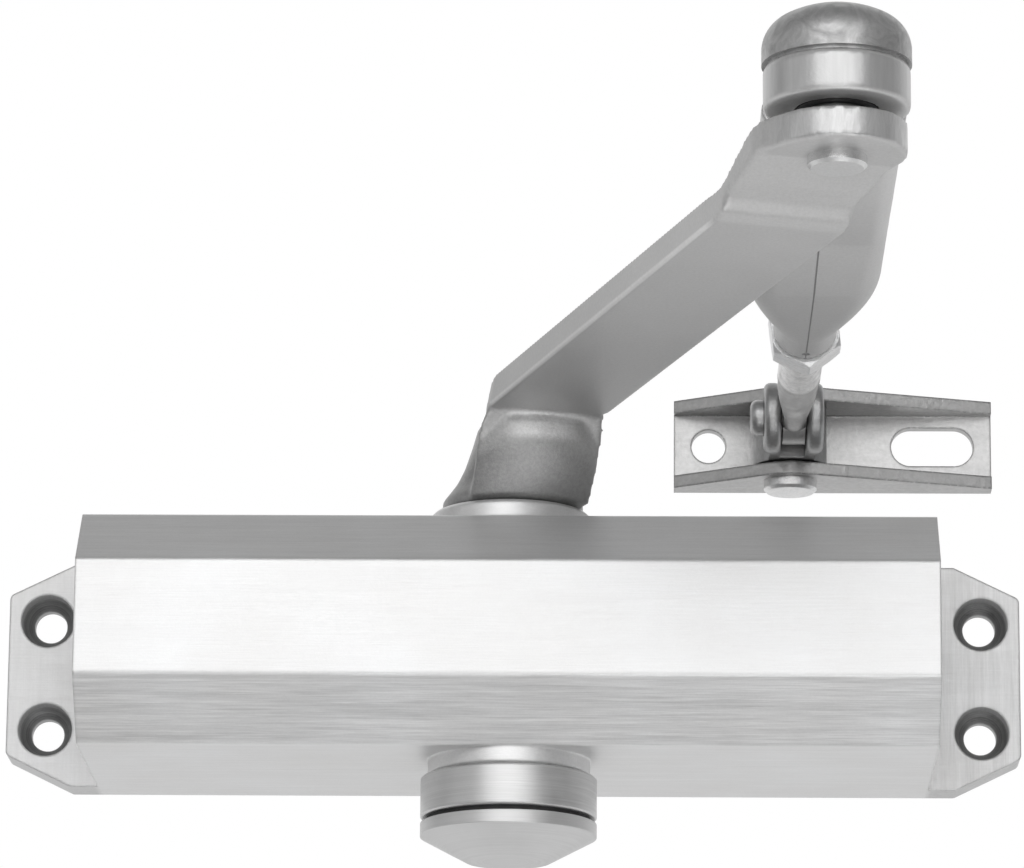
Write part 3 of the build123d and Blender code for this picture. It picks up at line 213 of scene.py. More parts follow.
class Sheet:
    """A node tree with short ways to add nodes and join them."""

    def __init__(self, tree):
        self.tree = tree

    def add(self, kind, **values):
        node = self.tree.nodes.new(kind)
        for name, value in values.items():
            setattr(node, name, value)
        return node

    def put(self, value, socket):
        """A socket is joined, and anything else is set."""
        if isinstance(value, bpy.types.NodeSocket):
            self.tree.links.new(value, socket)
        else:
            socket.default_value = value

    def math(self, operation, first, second=0.0):
        node = self.add("ShaderNodeMath", operation=operation)
        self.put(first, node.inputs[0])
        self.put(second, node.inputs[1])
        return node.outputs[0]

    def times(self, first, *others):
        for other in others:
            first = self.math("MULTIPLY", first, other)
        return first

    def vector(self, operation, first, second=(0, 0, 0)):
        node = self.add("ShaderNodeVectorMath", operation=operation)
        self.put(first, node.inputs[0])
        self.put(second, node.inputs[1])
        return node.outputs["Value" if operation in ("LENGTH", "DOT_PRODUCT") else "Vector"]

    def split(self, vector):
        node = self.add("ShaderNodeSeparateXYZ")
        self.put(vector, node.inputs[0])
        return node.outputs

    def combine(self, x, y, z):
        node = self.add("ShaderNodeCombineXYZ")
        for value, socket in zip((x, y, z), node.inputs):
            self.put(value, socket)
        return node.outputs[0]

    def noise(self, place, scale=1.0, detail=2.0, roughness=0.5, distortion=0.0):
        node = self.add("ShaderNodeTexNoise")
        self.put(place, node.inputs["Vector"])
        self.put(scale, node.inputs["Scale"])
        self.put(detail, node.inputs["Detail"])
        self.put(roughness, node.inputs["Roughness"])
        self.put(distortion, node.inputs["Distortion"])
        return node.outputs["Fac"]

    def spread(self, value, low, high, to_low=0.0, to_high=1.0, smooth=False):
        """A value from one range laid over another."""
        node = self.add("ShaderNodeMapRange")
        if smooth:
            node.interpolation_type = "SMOOTHSTEP"
        names = ("From Min", "From Max", "To Min", "To Max")
        self.put(value, node.inputs["Value"])
        for name, number in zip(names, (low, high, to_low, to_high)):
            self.put(number, node.inputs[name])
        return node.outputs[0]

    def blend(self, factor, first, second, how="MIX"):
        node = self.add("ShaderNodeMix", data_type="RGBA", blend_type=how)
        self.put(factor, node.inputs[0])
        self.put(first, node.inputs[6])
        self.put(second, node.inputs[7])
        return node.outputs[2]

    def scaled(self, tone, mask, low, high):
        """A tone times low where a mask is 0, and times high where it is 1."""
        return self.math("MULTIPLY", tone, self.spread(mask, 0, 1, low, high))

    def tinted(self, base, tone):
        """A colour times a tone."""
        return self.blend(1.0, base, self.combine(tone, tone, tone), "MULTIPLY")

    def near_line(self, first, second, reach):
        """A mask near a line, from two values, each with its value on the line."""
        away = self.combine(self.math("SUBTRACT", *first), self.math("SUBTRACT", *second), 0.0)
        return self.spread(self.vector("LENGTH", away), *reach)

    def group(self, tree, **values):
        node = self.add("ShaderNodeGroup", node_tree=tree)
        for name, value in values.items():
            self.put(value, node.inputs[name.replace("_", " ")])
        return node.outputs


def new_group(name, inputs, outputs):
    """A shader group with named sockets, and its sheet."""
    tree = bpy.data.node_groups.new(name, "ShaderNodeTree")
    for label, kind, value in inputs:
        socket = tree.interface.new_socket(name=label, in_out="INPUT", socket_type=kind)
        socket.default_value = value
    for label, kind in outputs:
        tree.interface.new_socket(name=label, in_out="OUTPUT", socket_type=kind)
    sheet = Sheet(tree)
    start = sheet.add("NodeGroupInput").outputs
    end = sheet.add("NodeGroupOutput").inputs
    return tree, sheet, start, end


def brushed_lines_group():
    """Fine lines along one direction. Place is in millimetres and Stretch shortens the long way."""
    tree, sheet, start, end = new_group(
        "brushed_lines",
        [
            ("Place", "NodeSocketVector", (0, 0, 0)),
            ("Stretch", "NodeSocketVector", (0.05, 1, 1)),
            ("Fineness", "NodeSocketFloat", 3.0),
        ],
        [("Tone", "NodeSocketFloat"), ("Height", "NodeSocketFloat")],
    )
    place = sheet.vector("MULTIPLY", start["Place"], start["Stretch"])
    fine = sheet.noise(place, start["Fineness"], 4.0, 0.7)
    broad_scale = sheet.times(start["Fineness"], 0.3)
    broad = sheet.noise(place, broad_scale, 3.0, 0.6)
    both = sheet.math("ADD", sheet.times(fine, 0.6), sheet.times(broad, 0.4))
    sheet.put(sheet.spread(both, 0.34, 0.66), end["Tone"])
    sheet.put(sheet.spread(fine, 0.3, 0.7), end["Height"])
    return tree


def lathe_rings_group():
    """Turning marks round an upright axis. Place is in millimetres from that axis."""
    tree, sheet, start, end = new_group(
        "lathe_rings",
        [
            ("Place", "NodeSocketVector", (0, 0, 0)),
            ("Fineness", "NodeSocketFloat", 4.0),
        ],
        [("Tone", "NodeSocketFloat"), ("Height", "NodeSocketFloat")],
    )
    x, y, z = sheet.split(start["Place"])
    radius = sheet.vector("LENGTH", sheet.combine(x, y, 0.0))
    turned = sheet.combine(radius, z, sheet.times(sheet.math("ADD", x, y), 0.02))
    marks = sheet.noise(turned, start["Fineness"], 4.0, 0.7)
    sheet.put(sheet.spread(marks, 0.34, 0.66), end["Tone"])
    sheet.put(sheet.spread(marks, 0.3, 0.7), end["Height"])
    return tree


def fine_speckle_group():
    """Small flakes with softer clouds under them. Place is in millimetres."""
    tree, sheet, start, end = new_group(
        "fine_speckle",
        [
            ("Place", "NodeSocketVector", (0, 0, 0)),
            ("Flake", "NodeSocketFloat", 3.0),
            ("Cloud", "NodeSocketFloat", 0.12),
        ],
        [
            ("Flakes", "NodeSocketFloat"),
            ("Clouds", "NodeSocketFloat"),
            ("Height", "NodeSocketFloat"),
        ],
    )
    flakes = sheet.noise(start["Place"], start["Flake"], 3.0, 0.7)
    clouds = sheet.noise(start["Place"], start["Cloud"], 3.0, 0.55)
    sheet.put(sheet.spread(flakes, 0.3, 0.7), end["Flakes"])
    sheet.put(sheet.spread(clouds, 0.3, 0.7), end["Clouds"])
    sheet.put(flakes, end["Height"])
    return tree


def worn_edges_group():
    """A mask on outer edges, broken up by noise, and a normal that rounds them."""
    tree, sheet, start, end = new_group(
        "worn_edges",
        [
            ("Place", "NodeSocketVector", (0, 0, 0)),
            ("Radius", "NodeSocketFloat", 0.0004),
        ],
        [("Mask", "NodeSocketFloat"), ("Normal", "NodeSocketVector")],
    )
    bevel = sheet.add("ShaderNodeBevel", samples=6)
    sheet.put(start["Radius"], bevel.inputs["Radius"])
    true_normal = sheet.add("ShaderNodeNewGeometry").outputs["True Normal"]
    alike = sheet.vector("DOT_PRODUCT", bevel.outputs[0], true_normal)
    edge = sheet.spread(alike, 0.995, 0.86)
    broken = sheet.spread(sheet.noise(start["Place"], 0.9, 3.0, 0.6), 0.35, 0.62)
    sheet.put(sheet.times(edge, broken), end["Mask"])
    sheet.put(bevel.outputs[0], end["Normal"])
    return tree


BRUSHED = brushed_lines_group()
LATHE = lathe_rings_group()
SPECKLE = fine_speckle_group()
EDGES = worn_edges_group()


class Finish(Sheet):
    """A material with its Principled shader and its place in millimetres."""

    def __init__(self, name, metallic=0.0, roughness=0.5):
        self.material = bpy.data.materials.new(name)
        self.material.use_nodes = True
        tree = self.material.node_tree
        tree.nodes.clear()
        super().__init__(tree)
        self.shader = self.add("ShaderNodeBsdfPrincipled")
        self.shader.inputs["Metallic"].default_value = metallic
        self.shader.inputs["Roughness"].default_value = roughness
        surface = self.add("ShaderNodeOutputMaterial").inputs["Surface"]
        self.put(self.shader.outputs[0], surface)
        self.place = self.add("ShaderNodeTexCoord").outputs["Object"]
        self.mm = self.vector("MULTIPLY", self.place, (1000, 1000, 1000))

    def about(self, axis):
        """Place in millimetres from an axis given in metres."""
        return self.vector("SUBTRACT", self.mm, tuple(v * 1000 for v in axis))

    def colour(self, value):
        self.put(value, self.shader.inputs["Base Color"])

    def rough(self, value):
        self.put(value, self.shader.inputs["Roughness"])

    def relief(self, height, depth, normal=None):
        """Bump whose full height is depth, in metres."""
        bump = self.add("ShaderNodeBump")
        self.put(1.0, bump.inputs["Strength"])
        self.put(depth, bump.inputs["Distance"])
        self.put(height, bump.inputs["Height"])
        if normal is not None:
            self.put(normal, bump.inputs["Normal"])
        self.put(bump.outputs[0], self.shader.inputs["Normal"])


def grey(level, warm=0.0):
    """A grey, with a little warmth if wanted."""
    return (level * (1 + warm), level, level * (1 - warm), 1)


# Finishes

def body_finish():
    """Satin silver casting: brushed along its length, milled flanges, turned screw recesses, with
    painted shade on the flanges and in the recesses.
    """
    made = Finish("silver_casting", metallic=0.8, roughness=0.42)
    x, y, z = made.split(made.mm)
    lines = made.group(BRUSHED, Place=made.mm, Stretch=(0.035, 1, 1), Fineness=2.6)
    speckle = made.group(SPECKLE, Place=made.mm, Flake=2.4, Cloud=0.05)
    edges = made.group(EDGES, Place=made.mm, Radius=0.0006)
    tone = made.spread(lines["Tone"], 0, 1, 0.93, 1.05)
    tone = made.scaled(tone, speckle["Flakes"], 0.98, 1.02)
    tone = made.scaled(tone, speckle["Clouds"], 0.98, 1.02)
    # The lower bevel shows its brushing most
    facing = made.split(made.add("ShaderNodeTexCoord").outputs["Normal"])
    facing_down = made.spread(facing["Z"], -0.3, -0.6)
    facing_front = made.spread(facing["Y"], -0.3, -0.6)
    low_bevel = made.times(facing_down, facing_front)
    deep = made.spread(lines["Tone"], 0, 1, 0.84, 1.08)
    tone = made.scaled(tone, low_bevel, 1.0, deep)
    # The flanges are milled across, and their colour is darkened as painted shade, the right flange
    # more than the left
    across = made.math("ABSOLUTE", x)
    flange = made.spread(across, BODY_END * 1000, BODY_END * 1000 + 1)
    milled = made.group(BRUSHED, Place=made.mm, Stretch=(1, 1, 0.05), Fineness=2.2)
    right = made.spread(x, 0, 1, 0.35, 1.0)
    milled_grain_and_shade = made.spread(milled["Tone"], 0, 1, 0.66, 0.86)
    milled_grain_and_shade = made.spread(right, 0, 1, 0.8, milled_grain_and_shade)
    tone = made.scaled(tone, flange, 1.0, milled_grain_and_shade)
    # The screw recesses are turned, and darkened as painted shade
    half_x = HOLES["dims"]["spacing_x_mm"] / 2
    half_z = HOLES["dims"]["spacing_y_mm"] / 2
    from_hole = made.combine(
        made.math("SUBTRACT", across, half_x),
        0.0,
        made.math("SUBTRACT", made.math("ABSOLUTE", z), half_z),
    )
    reach = made.vector("LENGTH", from_hole)
    inside = made.spread(reach, RECESS_RADIUS_MM + 0.05, RECESS_RADIUS_MM - 0.05)
    below_face = made.spread(y, -RECESS_FACE_MM, -RECESS_FACE_MM + 0.1)
    recess = made.times(inside, below_face)
    turned = made.noise(made.combine(reach, y, 0.0), 3.5, 3.0, 0.7)
    recess_turning_and_shade = made.spread(turned, 0.3, 0.7, 0.4, 0.75)
    tone = made.scaled(tone, recess, 1.0, recess_turning_and_shade)
    tone = made.scaled(tone, edges["Mask"], 1.0, 1.1)
    base = made.blend(made.spread(speckle["Clouds"], 0, 1), grey(0.72, 0.004), grey(0.735, -0.004))
    made.colour(made.tinted(base, tone))
    made.rough(made.spread(lines["Tone"], 0, 1, 0.38, 0.5))
    height = made.math("ADD", made.times(lines["Height"], 0.8), speckle["Height"])
    made.relief(height, 0.000012, edges["Normal"])
    return made.material


def arm_finish():
    """Silver-grey paint on a forging: fine flakes, soft clouds and a little orange peel."""
    made = Finish("silver_arm_paint", metallic=0.65, roughness=0.45)
    speckle = made.group(SPECKLE, Place=made.mm, Flake=2.2, Cloud=0.07)
    edges = made.group(EDGES, Place=made.mm, Radius=0.0007)
    tone = made.spread(speckle["Flakes"], 0, 1, 0.95, 1.05)
    tone = made.scaled(tone, speckle["Clouds"], 0.97, 1.03)
    tone = made.scaled(tone, edges["Mask"], 1.0, 1.12)
    made.colour(made.tinted(grey(0.42, 0.003), tone))
    made.rough(made.spread(speckle["Clouds"], 0, 1, 0.4, 0.5))
    made.relief(speckle["Height"], 0.00003, edges["Normal"])
    return made.material


def forging_finish():
    """The arm's paint, worn to bare turned metal round the eye's machined wall, with painted light
    toward the eye, painted highlights on the web and painted shade at its foot.
    """
    made = Finish("painted_forging", metallic=0.65, roughness=0.45)
    speckle = made.group(SPECKLE, Place=made.mm, Flake=2.2, Cloud=0.07)
    from_pinion = made.about(PINION_AXIS)
    along = made.vector("DOT_PRODUCT", from_pinion, ARM_WAY)
    aside = made.vector("DOT_PRODUCT", from_pinion, ARM_SIDE)
    off_middle = made.math("ABSOLUTE", aside)
    height = made.split(made.mm)["Z"]
    tone = made.spread(speckle["Flakes"], 0, 1, 0.94, 1.06)
    tone = made.scaled(tone, speckle["Clouds"], 0.96, 1.04)
    # The web keeps a rough forged skin
    x, y, z = made.split(from_pinion)
    near = made.spread(made.vector("LENGTH", made.combine(x, y, 0.0)), *SKIN_REACH, smooth=True)
    rough_skin = made.noise(made.mm, 1.1, 4.0, 0.75)
    skin = made.spread(rough_skin, 0.35, 0.7, 0.92, 1.05)
    tone = made.scaled(tone, near, 1.0, skin)
    # It is made paler toward the eye as painted light, brightened along the strip's lower left edge,
    # and given painted highlights along the top of the web and on its head
    tone = made.times(tone, made.spread(along, 20, RAMP_END, 1.0, 1.25))
    edge = made.near_line((aside, ARM_LEFT + 0.3), (height, STRIP_BOTTOM + 0.3), EDGE_REACH)
    edge = made.times(edge, made.spread(along, *EDGE_ALONG), made.spread(along, *EDGE_STOP))
    # Painted highlight along the top of the web, where it meets the strip
    ridge = made.near_line((along, WEB_TOP_FRONT + 0.3), (height, STRIP_BOTTOM - 0.5), RIDGE_REACH)
    ridge = made.times(ridge, made.spread(off_middle, *RIDGE_SIDES))
    tone = made.scaled(tone, made.math("MAXIMUM", edge, ridge), 1.0, 1.5)
    # Painted highlight on the web's head
    from_head = made.math("ABSOLUTE", made.math("SUBTRACT", height, HIGHLIGHT_HEAD_HEIGHT))
    head = made.spread(from_head, *HIGHLIGHT_HEAD_REACH, smooth=True)
    head = made.times(head, made.spread(off_middle, *HIGHLIGHT_HEAD_SIDES, smooth=True), near)
    tone = made.scaled(tone, head, 1.0, 1.85)
    # The web's lower part is darkened as painted shade
    foot = made.times(made.spread(height, *FOOT_SHADE_HEIGHTS, smooth=True), near)
    tone = made.scaled(tone, foot, 1.0, 0.78)
    # The eye's wall is turned, with streaks along it
    x, y, z = made.split(made.about(KNUCKLE_AXIS))
    reach = made.vector("LENGTH", made.combine(x, y, 0.0))
    wall = made.times(
        made.spread(reach, *WALL_INNER),
        made.spread(reach, *WALL_OUTER),
        made.spread(height, *WALL_LOWER),
        made.spread(height, *WALL_UPPER),
    )
    low = made.times(height, 0.25)
    streaks = made.noise(made.combine(x, y, low), 0.9, 4.0, 0.7, 1.2)
    streaked = made.spread(streaks, 0.3, 0.65, 0.84, 1.06)
    paint = made.tinted(grey(0.42, 0.003), tone)
    bare = made.tinted(grey(0.55), streaked)
    made.colour(made.blend(wall, paint, bare))
    painted = made.spread(speckle["Clouds"], 0, 1, 0.4, 0.5)
    polished = made.spread(streaks, 0.3, 0.65, 0.38, 0.3)
    made.rough(made.spread(wall, 0, 1, painted, polished))
    pits = made.times(rough_skin, near, 1.6)
    made.relief(made.math("ADD", speckle["Height"], pits), 0.00003)
    return made.material


def forearm_finish():
    """The forearm's paint, made paler toward the eye as painted light, with a turned wall at the eye
    and a fine line of painted shade along its seam.
    """
    made = Finish("painted_tube", metallic=0.65, roughness=0.45)
    speckle = made.group(SPECKLE, Place=made.mm, Flake=2.2, Cloud=0.07)
    away = made.about(KNUCKLE_AXIS)
    x, y, z = made.split(away)
    reach = made.vector("LENGTH", made.combine(x, y, 0.0))
    along = made.vector("DOT_PRODUCT", away, (*FOREARM_WAY, 0))
    beside = made.vector("DOT_PRODUCT", away, (FOREARM_WAY[1], -FOREARM_WAY[0], 0))
    normal = made.split(made.add("ShaderNodeTexCoord").outputs["Normal"])
    # The seam and its small hole, underneath, painted dark as the shade inside them
    line = made.spread(made.math("ABSOLUTE", beside), *SEAM_SIDES)
    line = made.times(line, made.spread(along, SEAM_FROM_EYE, SEAM_FROM_EYE + SEAM_FADE))
    hole = made.near_line((beside, 0.0), (along, SEAM_HOLE_FROM_EYE), SEAM_HOLE_EDGE)
    below = made.math("LESS_THAN", normal["Z"], -0.1)
    line = made.times(made.math("MAXIMUM", line, hole), below)
    # The eye's turned wall
    upright = made.spread(made.math("ABSOLUTE", normal["Z"]), 0.35, 0.15)
    wall = made.spread(reach, FOREARM_EYE_RADIUS, FOREARM_EYE_RADIUS - 0.3)
    wall = made.times(wall, upright, made.math("LESS_THAN", along, FOREARM_WALL_END))
    marks = made.noise(made.combine(x, y, made.times(z, 0.1)), 1.2, 3.0, 0.6)
    marked = made.spread(marks, 0.3, 0.7, 0.93, 1.04)
    bare = made.tinted(grey(0.5), marked)
    tone = made.spread(speckle["Flakes"], 0, 1, 0.95, 1.05)
    tone = made.scaled(tone, speckle["Clouds"], 0.97, 1.03)
    # The paint is made paler toward the eye as painted light
    tone = made.times(tone, made.spread(along, *FOREARM_PAINTED_LIGHT, 1.2, 0.98))
    paint = made.tinted(grey(0.48, 0.003), tone)
    colour = made.blend(wall, paint, bare)
    made.colour(made.blend(made.times(line, 0.7), colour, grey(0.1)))
    painted = made.spread(speckle["Clouds"], 0, 1, 0.4, 0.5)
    made.rough(made.spread(wall, 0, 1, painted, 0.3))
    made.relief(made.math("SUBTRACT", speckle["Height"], made.times(line, 3.0)), 0.00003)
    return made.material


def turned_finish(name, axis, level, roughness=0.3, metallic=0.95, deep=0.88):
    """Metal turned on a lathe about an upright axis."""
    made = Finish(name, metallic=metallic, roughness=roughness)
    rings = made.group(LATHE, Place=made.about(axis), Fineness=3.0)
    speckle = made.group(SPECKLE, Place=made.mm, Flake=1.6, Cloud=0.15)
    edges = made.group(EDGES, Place=made.mm, Radius=0.0003)
    tone = made.spread(rings["Tone"], 0, 1, deep, 1.05)
    tone = made.scaled(tone, speckle["Clouds"], 0.95, 1.04)
    tone = made.scaled(tone, edges["Mask"], 1.0, 1.12)
    made.colour(made.tinted(grey(level), tone))
    made.rough(made.spread(speckle["Clouds"], 0, 1, roughness - 0.04, roughness + 0.08))
    made.relief(rings["Height"], 0.00001, edges["Normal"])
    return made.material


def zinc_finish(name="zinc_plating", level=0.48, grain=1.0):
    """Bright zinc plating over pressed steel: mottled, with fine rubbing marks."""
    made = Finish(name, metallic=1.0, roughness=0.36)
    speckle = made.group(SPECKLE, Place=made.mm, Flake=grain, Cloud=0.22)
    rubbed = made.group(BRUSHED, Place=made.mm, Stretch=(0.25, 1, 1), Fineness=1.4)
    edges = made.group(EDGES, Place=made.mm, Radius=0.00035)
    tone = made.spread(speckle["Flakes"], 0, 1, 0.9, 1.06)
    tone = made.scaled(tone, rubbed["Tone"], 0.93, 1.04)
    tone = made.scaled(tone, edges["Mask"], 1.0, 1.12)
    base = made.blend(speckle["Clouds"], grey(level, 0.008), grey(level, -0.01))
    made.colour(made.tinted(base, tone))
    made.rough(made.spread(speckle["Clouds"], 0, 1, 0.34, 0.46))
    height = made.math("ADD", speckle["Flakes"], made.times(rubbed["Height"], 0.4))
    made.relief(height, 0.000025, edges["Normal"])
    return made.material


def rod_finish():
    """The rod: bright and mottled next to the nut, darkened as painted shade beyond its shoulder."""
    made = Finish("rod_with_painted_shade", metallic=1.0, roughness=0.36)
    speckle = made.group(SPECKLE, Place=made.mm, Flake=1.6, Cloud=0.4)
    # Beyond the shoulder the rod is darkened as painted shade
    shoulder_shade = made.spread(made.split(made.mm)["Y"], *ROD_SHOULDER)
    tone = made.spread(speckle["Flakes"], 0, 1, 0.88, 1.06)
    patches = made.spread(speckle["Clouds"], 0.2, 0.8, 0.8, 1.1)
    tone = made.scaled(tone, shoulder_shade, patches, 0.58)
    made.colour(made.tinted(grey(0.82, 0.004), tone))
    made.rough(made.spread(speckle["Clouds"], 0, 1, 0.28, 0.5))
    made.relief(speckle["Height"], 0.00004)
    return made.material


def bracket_finish():
    """Dull zinc on the pressed bracket, with rough dark nicks along its sheared edges."""
    made = Finish("sheared_zinc", metallic=0.95, roughness=0.42)
    speckle = made.group(SPECKLE, Place=made.mm, Flake=0.9, Cloud=0.12)
    rubbed = made.group(BRUSHED, Place=made.mm, Stretch=(0.25, 1, 1), Fineness=1.4)
    edges = made.group(EDGES, Place=made.mm, Radius=0.0006)
    nicks = made.noise(made.mm, 1.3, 3.0, 0.7)
    nicked = made.times(edges["Mask"], made.spread(nicks, 0.42, 0.5))
    polished = made.times(edges["Mask"], made.spread(nicks, 0.42, 0.36))
    tone = made.spread(speckle["Flakes"], 0, 1, 0.88, 1.08)
    tone = made.scaled(tone, rubbed["Tone"], 0.94, 1.04)
    tone = made.scaled(tone, nicked, 1.0, 0.5)
    tone = made.scaled(tone, polished, 1.0, 1.35)
    made.colour(made.tinted(grey(0.5, 0.004), tone))
    made.rough(made.spread(speckle["Clouds"], 0, 1, 0.38, 0.45))
    height = made.math("SUBTRACT", speckle["Flakes"], made.times(nicked, 2.0))
    made.relief(height, 0.00003, edges["Normal"])
    return made.material


def cap_finish():
    """Pressed cap over the knuckle: plated metal with cloudy, rubbed patches."""
    made = Finish("cloudy_cap", metallic=0.8, roughness=0.42)
    speckle = made.group(SPECKLE, Place=made.mm, Flake=1.2, Cloud=0.16)
    patches = made.noise(made.mm, 0.28, 5.0, 0.65, 1.5)
    tone = made.spread(patches, 0.3, 0.7, 0.72, 1.12)
    tone = made.scaled(tone, speckle["Flakes"], 0.93, 1.05)
    made.colour(made.tinted(grey(0.47), tone))
    made.rough(made.spread(patches, 0.3, 0.7, 0.52, 0.38))
    made.relief(made.math("ADD", speckle["Height"], patches), 0.00004)
    return made.material


def rivet_finish():
    """The rivet: a turned shank under a flat end in the arm's paint."""
    made = Finish("turned_rivet", metallic=0.9, roughness=0.3)
    speckle = made.group(SPECKLE, Place=made.mm, Flake=2.0, Cloud=0.2)
    facing = made.split(made.add("ShaderNodeTexCoord").outputs["Normal"])
    end = made.spread(facing["Z"], -0.5, -0.9)
    tone = made.spread(speckle["Flakes"], 0, 1, 0.94, 1.06)
    wall = made.tinted(grey(0.75), tone)
    flat = made.tinted(grey(0.62), tone)
    made.colour(made.blend(end, wall, flat))
    made.rough(made.spread(end, 0, 1, 0.24, 0.5))
    made.relief(speckle["Height"], 0.00002)
    return made.material


def plain_metal_finish(name, colour, metallic, roughness, grain):
    """Inside metal: a colour with grain and clouds."""
    made = Finish(name, metallic=metallic, roughness=roughness)
    speckle = made.group(SPECKLE, Place=made.mm, Flake=grain, Cloud=0.2)
    tone = made.spread(speckle["Flakes"], 0, 1, 0.88, 1.08)
    tone = made.scaled(tone, speckle["Clouds"], 0.92, 1.05)
    made.colour(made.tinted(colour, tone))
    made.rough(made.spread(speckle["Clouds"], 0, 1, roughness - 0.05, roughness + 0.1))
    made.relief(speckle["Height"], 0.00002)
    return made.material


def rubber_finish():
    """Matt black rubber with a fine moulded grain and a little dust."""
    made = Finish("black_rubber", metallic=0.0, roughness=0.7)
    speckle = made.group(SPECKLE, Place=made.mm, Flake=4.0, Cloud=0.4)
    made.colour(made.blend(speckle["Clouds"], (0.012, 0.012, 0.012, 1), (0.03, 0.03, 0.031, 1)))
    made.rough(made.spread(speckle["Flakes"], 0, 1, 0.6, 0.8))
    made.relief(speckle["Height"], 0.00002)
    return made.material


ZINC = zinc_finish()
# A lighter copy of the zinc plating for the lock nut and the pin head; its extra lightness is painted
# light
LIGHTER_ZINC = zinc_finish("zinc_set_lighter", 0.82, 1.8)
ARM = arm_finish()
RUBBER = rubber_finish()
TURNED_STEEL = turned_finish("turned_steel", PINION_AXIS, 0.56, 0.32)
FINISHES = {
    "housing": body_finish(),
    "spring_end_plug": ZINC,
    "valve_end_plug": ZINC,
    "plug_seals": RUBBER,
    "pinion_bearings": plain_metal_finish("sintered_bronze", (0.55, 0.4, 0.2, 1), 0.9, 0.45, 2.0),
    "shaft_seals": RUBBER,
    "bearing_nuts": TURNED_STEEL,
    "spring_seat": TURNED_STEEL,
    "spindle_collar": turned_finish("turned_collar", PINION_AXIS, 0.6, 0.36, 0.85),
    "groove_seal": RUBBER,
    "spindle_cap": turned_finish("satin_cap", PINION_AXIS, 0.6, 0.4, 0.8, 0.96),
    "closing_valve": plain_metal_finish("valve_brass", (0.68, 0.52, 0.24, 1), 1.0, 0.3, 1.5),
    "closing_valve_ring": RUBBER,
    "latching_valve": bpy.data.materials["valve_brass"],
    "latching_valve_ring": RUBBER,
    "closing_spring": plain_metal_finish("spring_steel", (0.3, 0.3, 0.31, 1), 0.9, 0.4, 1.2),
    "piston": plain_metal_finish("cast_iron", (0.27, 0.27, 0.275, 1), 0.8, 0.5, 1.4),
    "piston_seal": plain_metal_finish("moulded_plastic", (0.05, 0.05, 0.052, 1), 0.0, 0.5, 3.0),
    "check_ball": TURNED_STEEL,
    "check_retainer": TURNED_STEEL,
    "pinion": TURNED_STEEL,
    "main_arm": ARM,
    "arm_washer": ZINC,
    "arm_screw": ZINC,
    "knuckle_rivet": rivet_finish(),
    "knuckle_spacer": turned_finish("dark_spacer", KNUCKLE_AXIS, 0.3, 0.4),
    "knuckle_bush": bpy.data.materials["moulded_plastic"],
    "knuckle_cap": cap_finish(),
    "forearm": ARM,
    "lock_nut": LIGHTER_ZINC,
    "adjusting_rod": rod_finish(),
    "yoke": zinc_finish("forged_zinc", 0.42, 1.4),
    "yoke_rivet": ZINC,
    "shoe_bracket": bracket_finish(),
    "shoe_pin": LIGHTER_ZINC,
}


def dress_nodes():
    """Gives each CAD node its finish."""
    for node, material in FINISHES.items():
        slots = frame["nodes"][node].material_slots
        for slot in slots:
            slot.material = material


# The forged arm

def between(points, at):
    """Height at a place on a line through points, level beyond its ends."""
    if at <= points[0][0]:
        return points[0][1]
    for (x0, y0), (x1, y1) in zip(points, points[1:]):
        if at <= x1:
            return y0 + (y1 - y0) * (at - x0) / (x1 - x0)
    return points[-1][1]


def eased(at, start, end):
    """0 before start, 1 after end, and smooth between."""
    t = min(max((at - start) / (end - start), 0.0), 1.0)
    return t * t * (3 - 2 * t)


def loft(mesh, rings):
    """A closed skin through rings of points in the arm's own millimetres."""
    rows = [[mesh.verts.new(point) for point in ring] for ring in rings]
    count = len(rings[0])
    for low, high in zip(rows, rows[1:]):
        for i in range(count):
            j = (i + 1) % count
            mesh.faces.new((low[i], low[j], high[j], high[i]))
    mesh.faces.new(list(reversed(rows[0])))
    mesh.faces.new(rows[-1])


def round_ring(radius, height, centre=(0, 0), count=96):
    turns = [2 * math.pi * i / count for i in range(count)]
    return [(centre[0] + radius * math.cos(t), centre[1] + radius * math.sin(t), height) for t in turns]


def strip_rings():
    """Flat strip that rises in an easy step to the eye, on slanted sections near the web."""
    rings = []
    places = [WEB_TOP_FRONT - WEB_DEPTH + i for i in range(STRIP_SECTIONS)]
    places += [STEP_SECTIONS_FROM + STEP_SECTION_LENGTH * i for i in range(STEP_SECTIONS)]
    for d in places:
        low = between(STEP_UNDER, d)
        high = STRIP_TOP + (EYE_TOP - STRIP_TOP) * eased(d, RAMP_START, TOP_RAMP_END)
        left = between(NECK_LEFT, d)
        right = between(NECK_RIGHT, d)
        slant = (1 - eased(d, SLANT_FROM, SLANT_TO)) / math.tan(WEB_SLOPE)
        corners = [(left, low), (right, low), (right, high), (left, high)]
        ring = []
        for (s0, z0), (s1, z1) in zip(corners, corners[1:] + corners[:1]):
            for k in range(POINTS_PER_SIDE):
                s = s0 + (s1 - s0) * k / POINTS_PER_SIDE
                z = z0 + (z1 - z0) * k / POINTS_PER_SIDE
                ring.append((d + (z - STRIP_BOTTOM) * slant, s, z))
        rings.append(ring)
    return rings


def web_slope(z):
    """How far the plain slope reaches forward at a height."""
    return WEB_TOP_FRONT - (STRIP_BOTTOM - z) / math.tan(WEB_SLOPE)


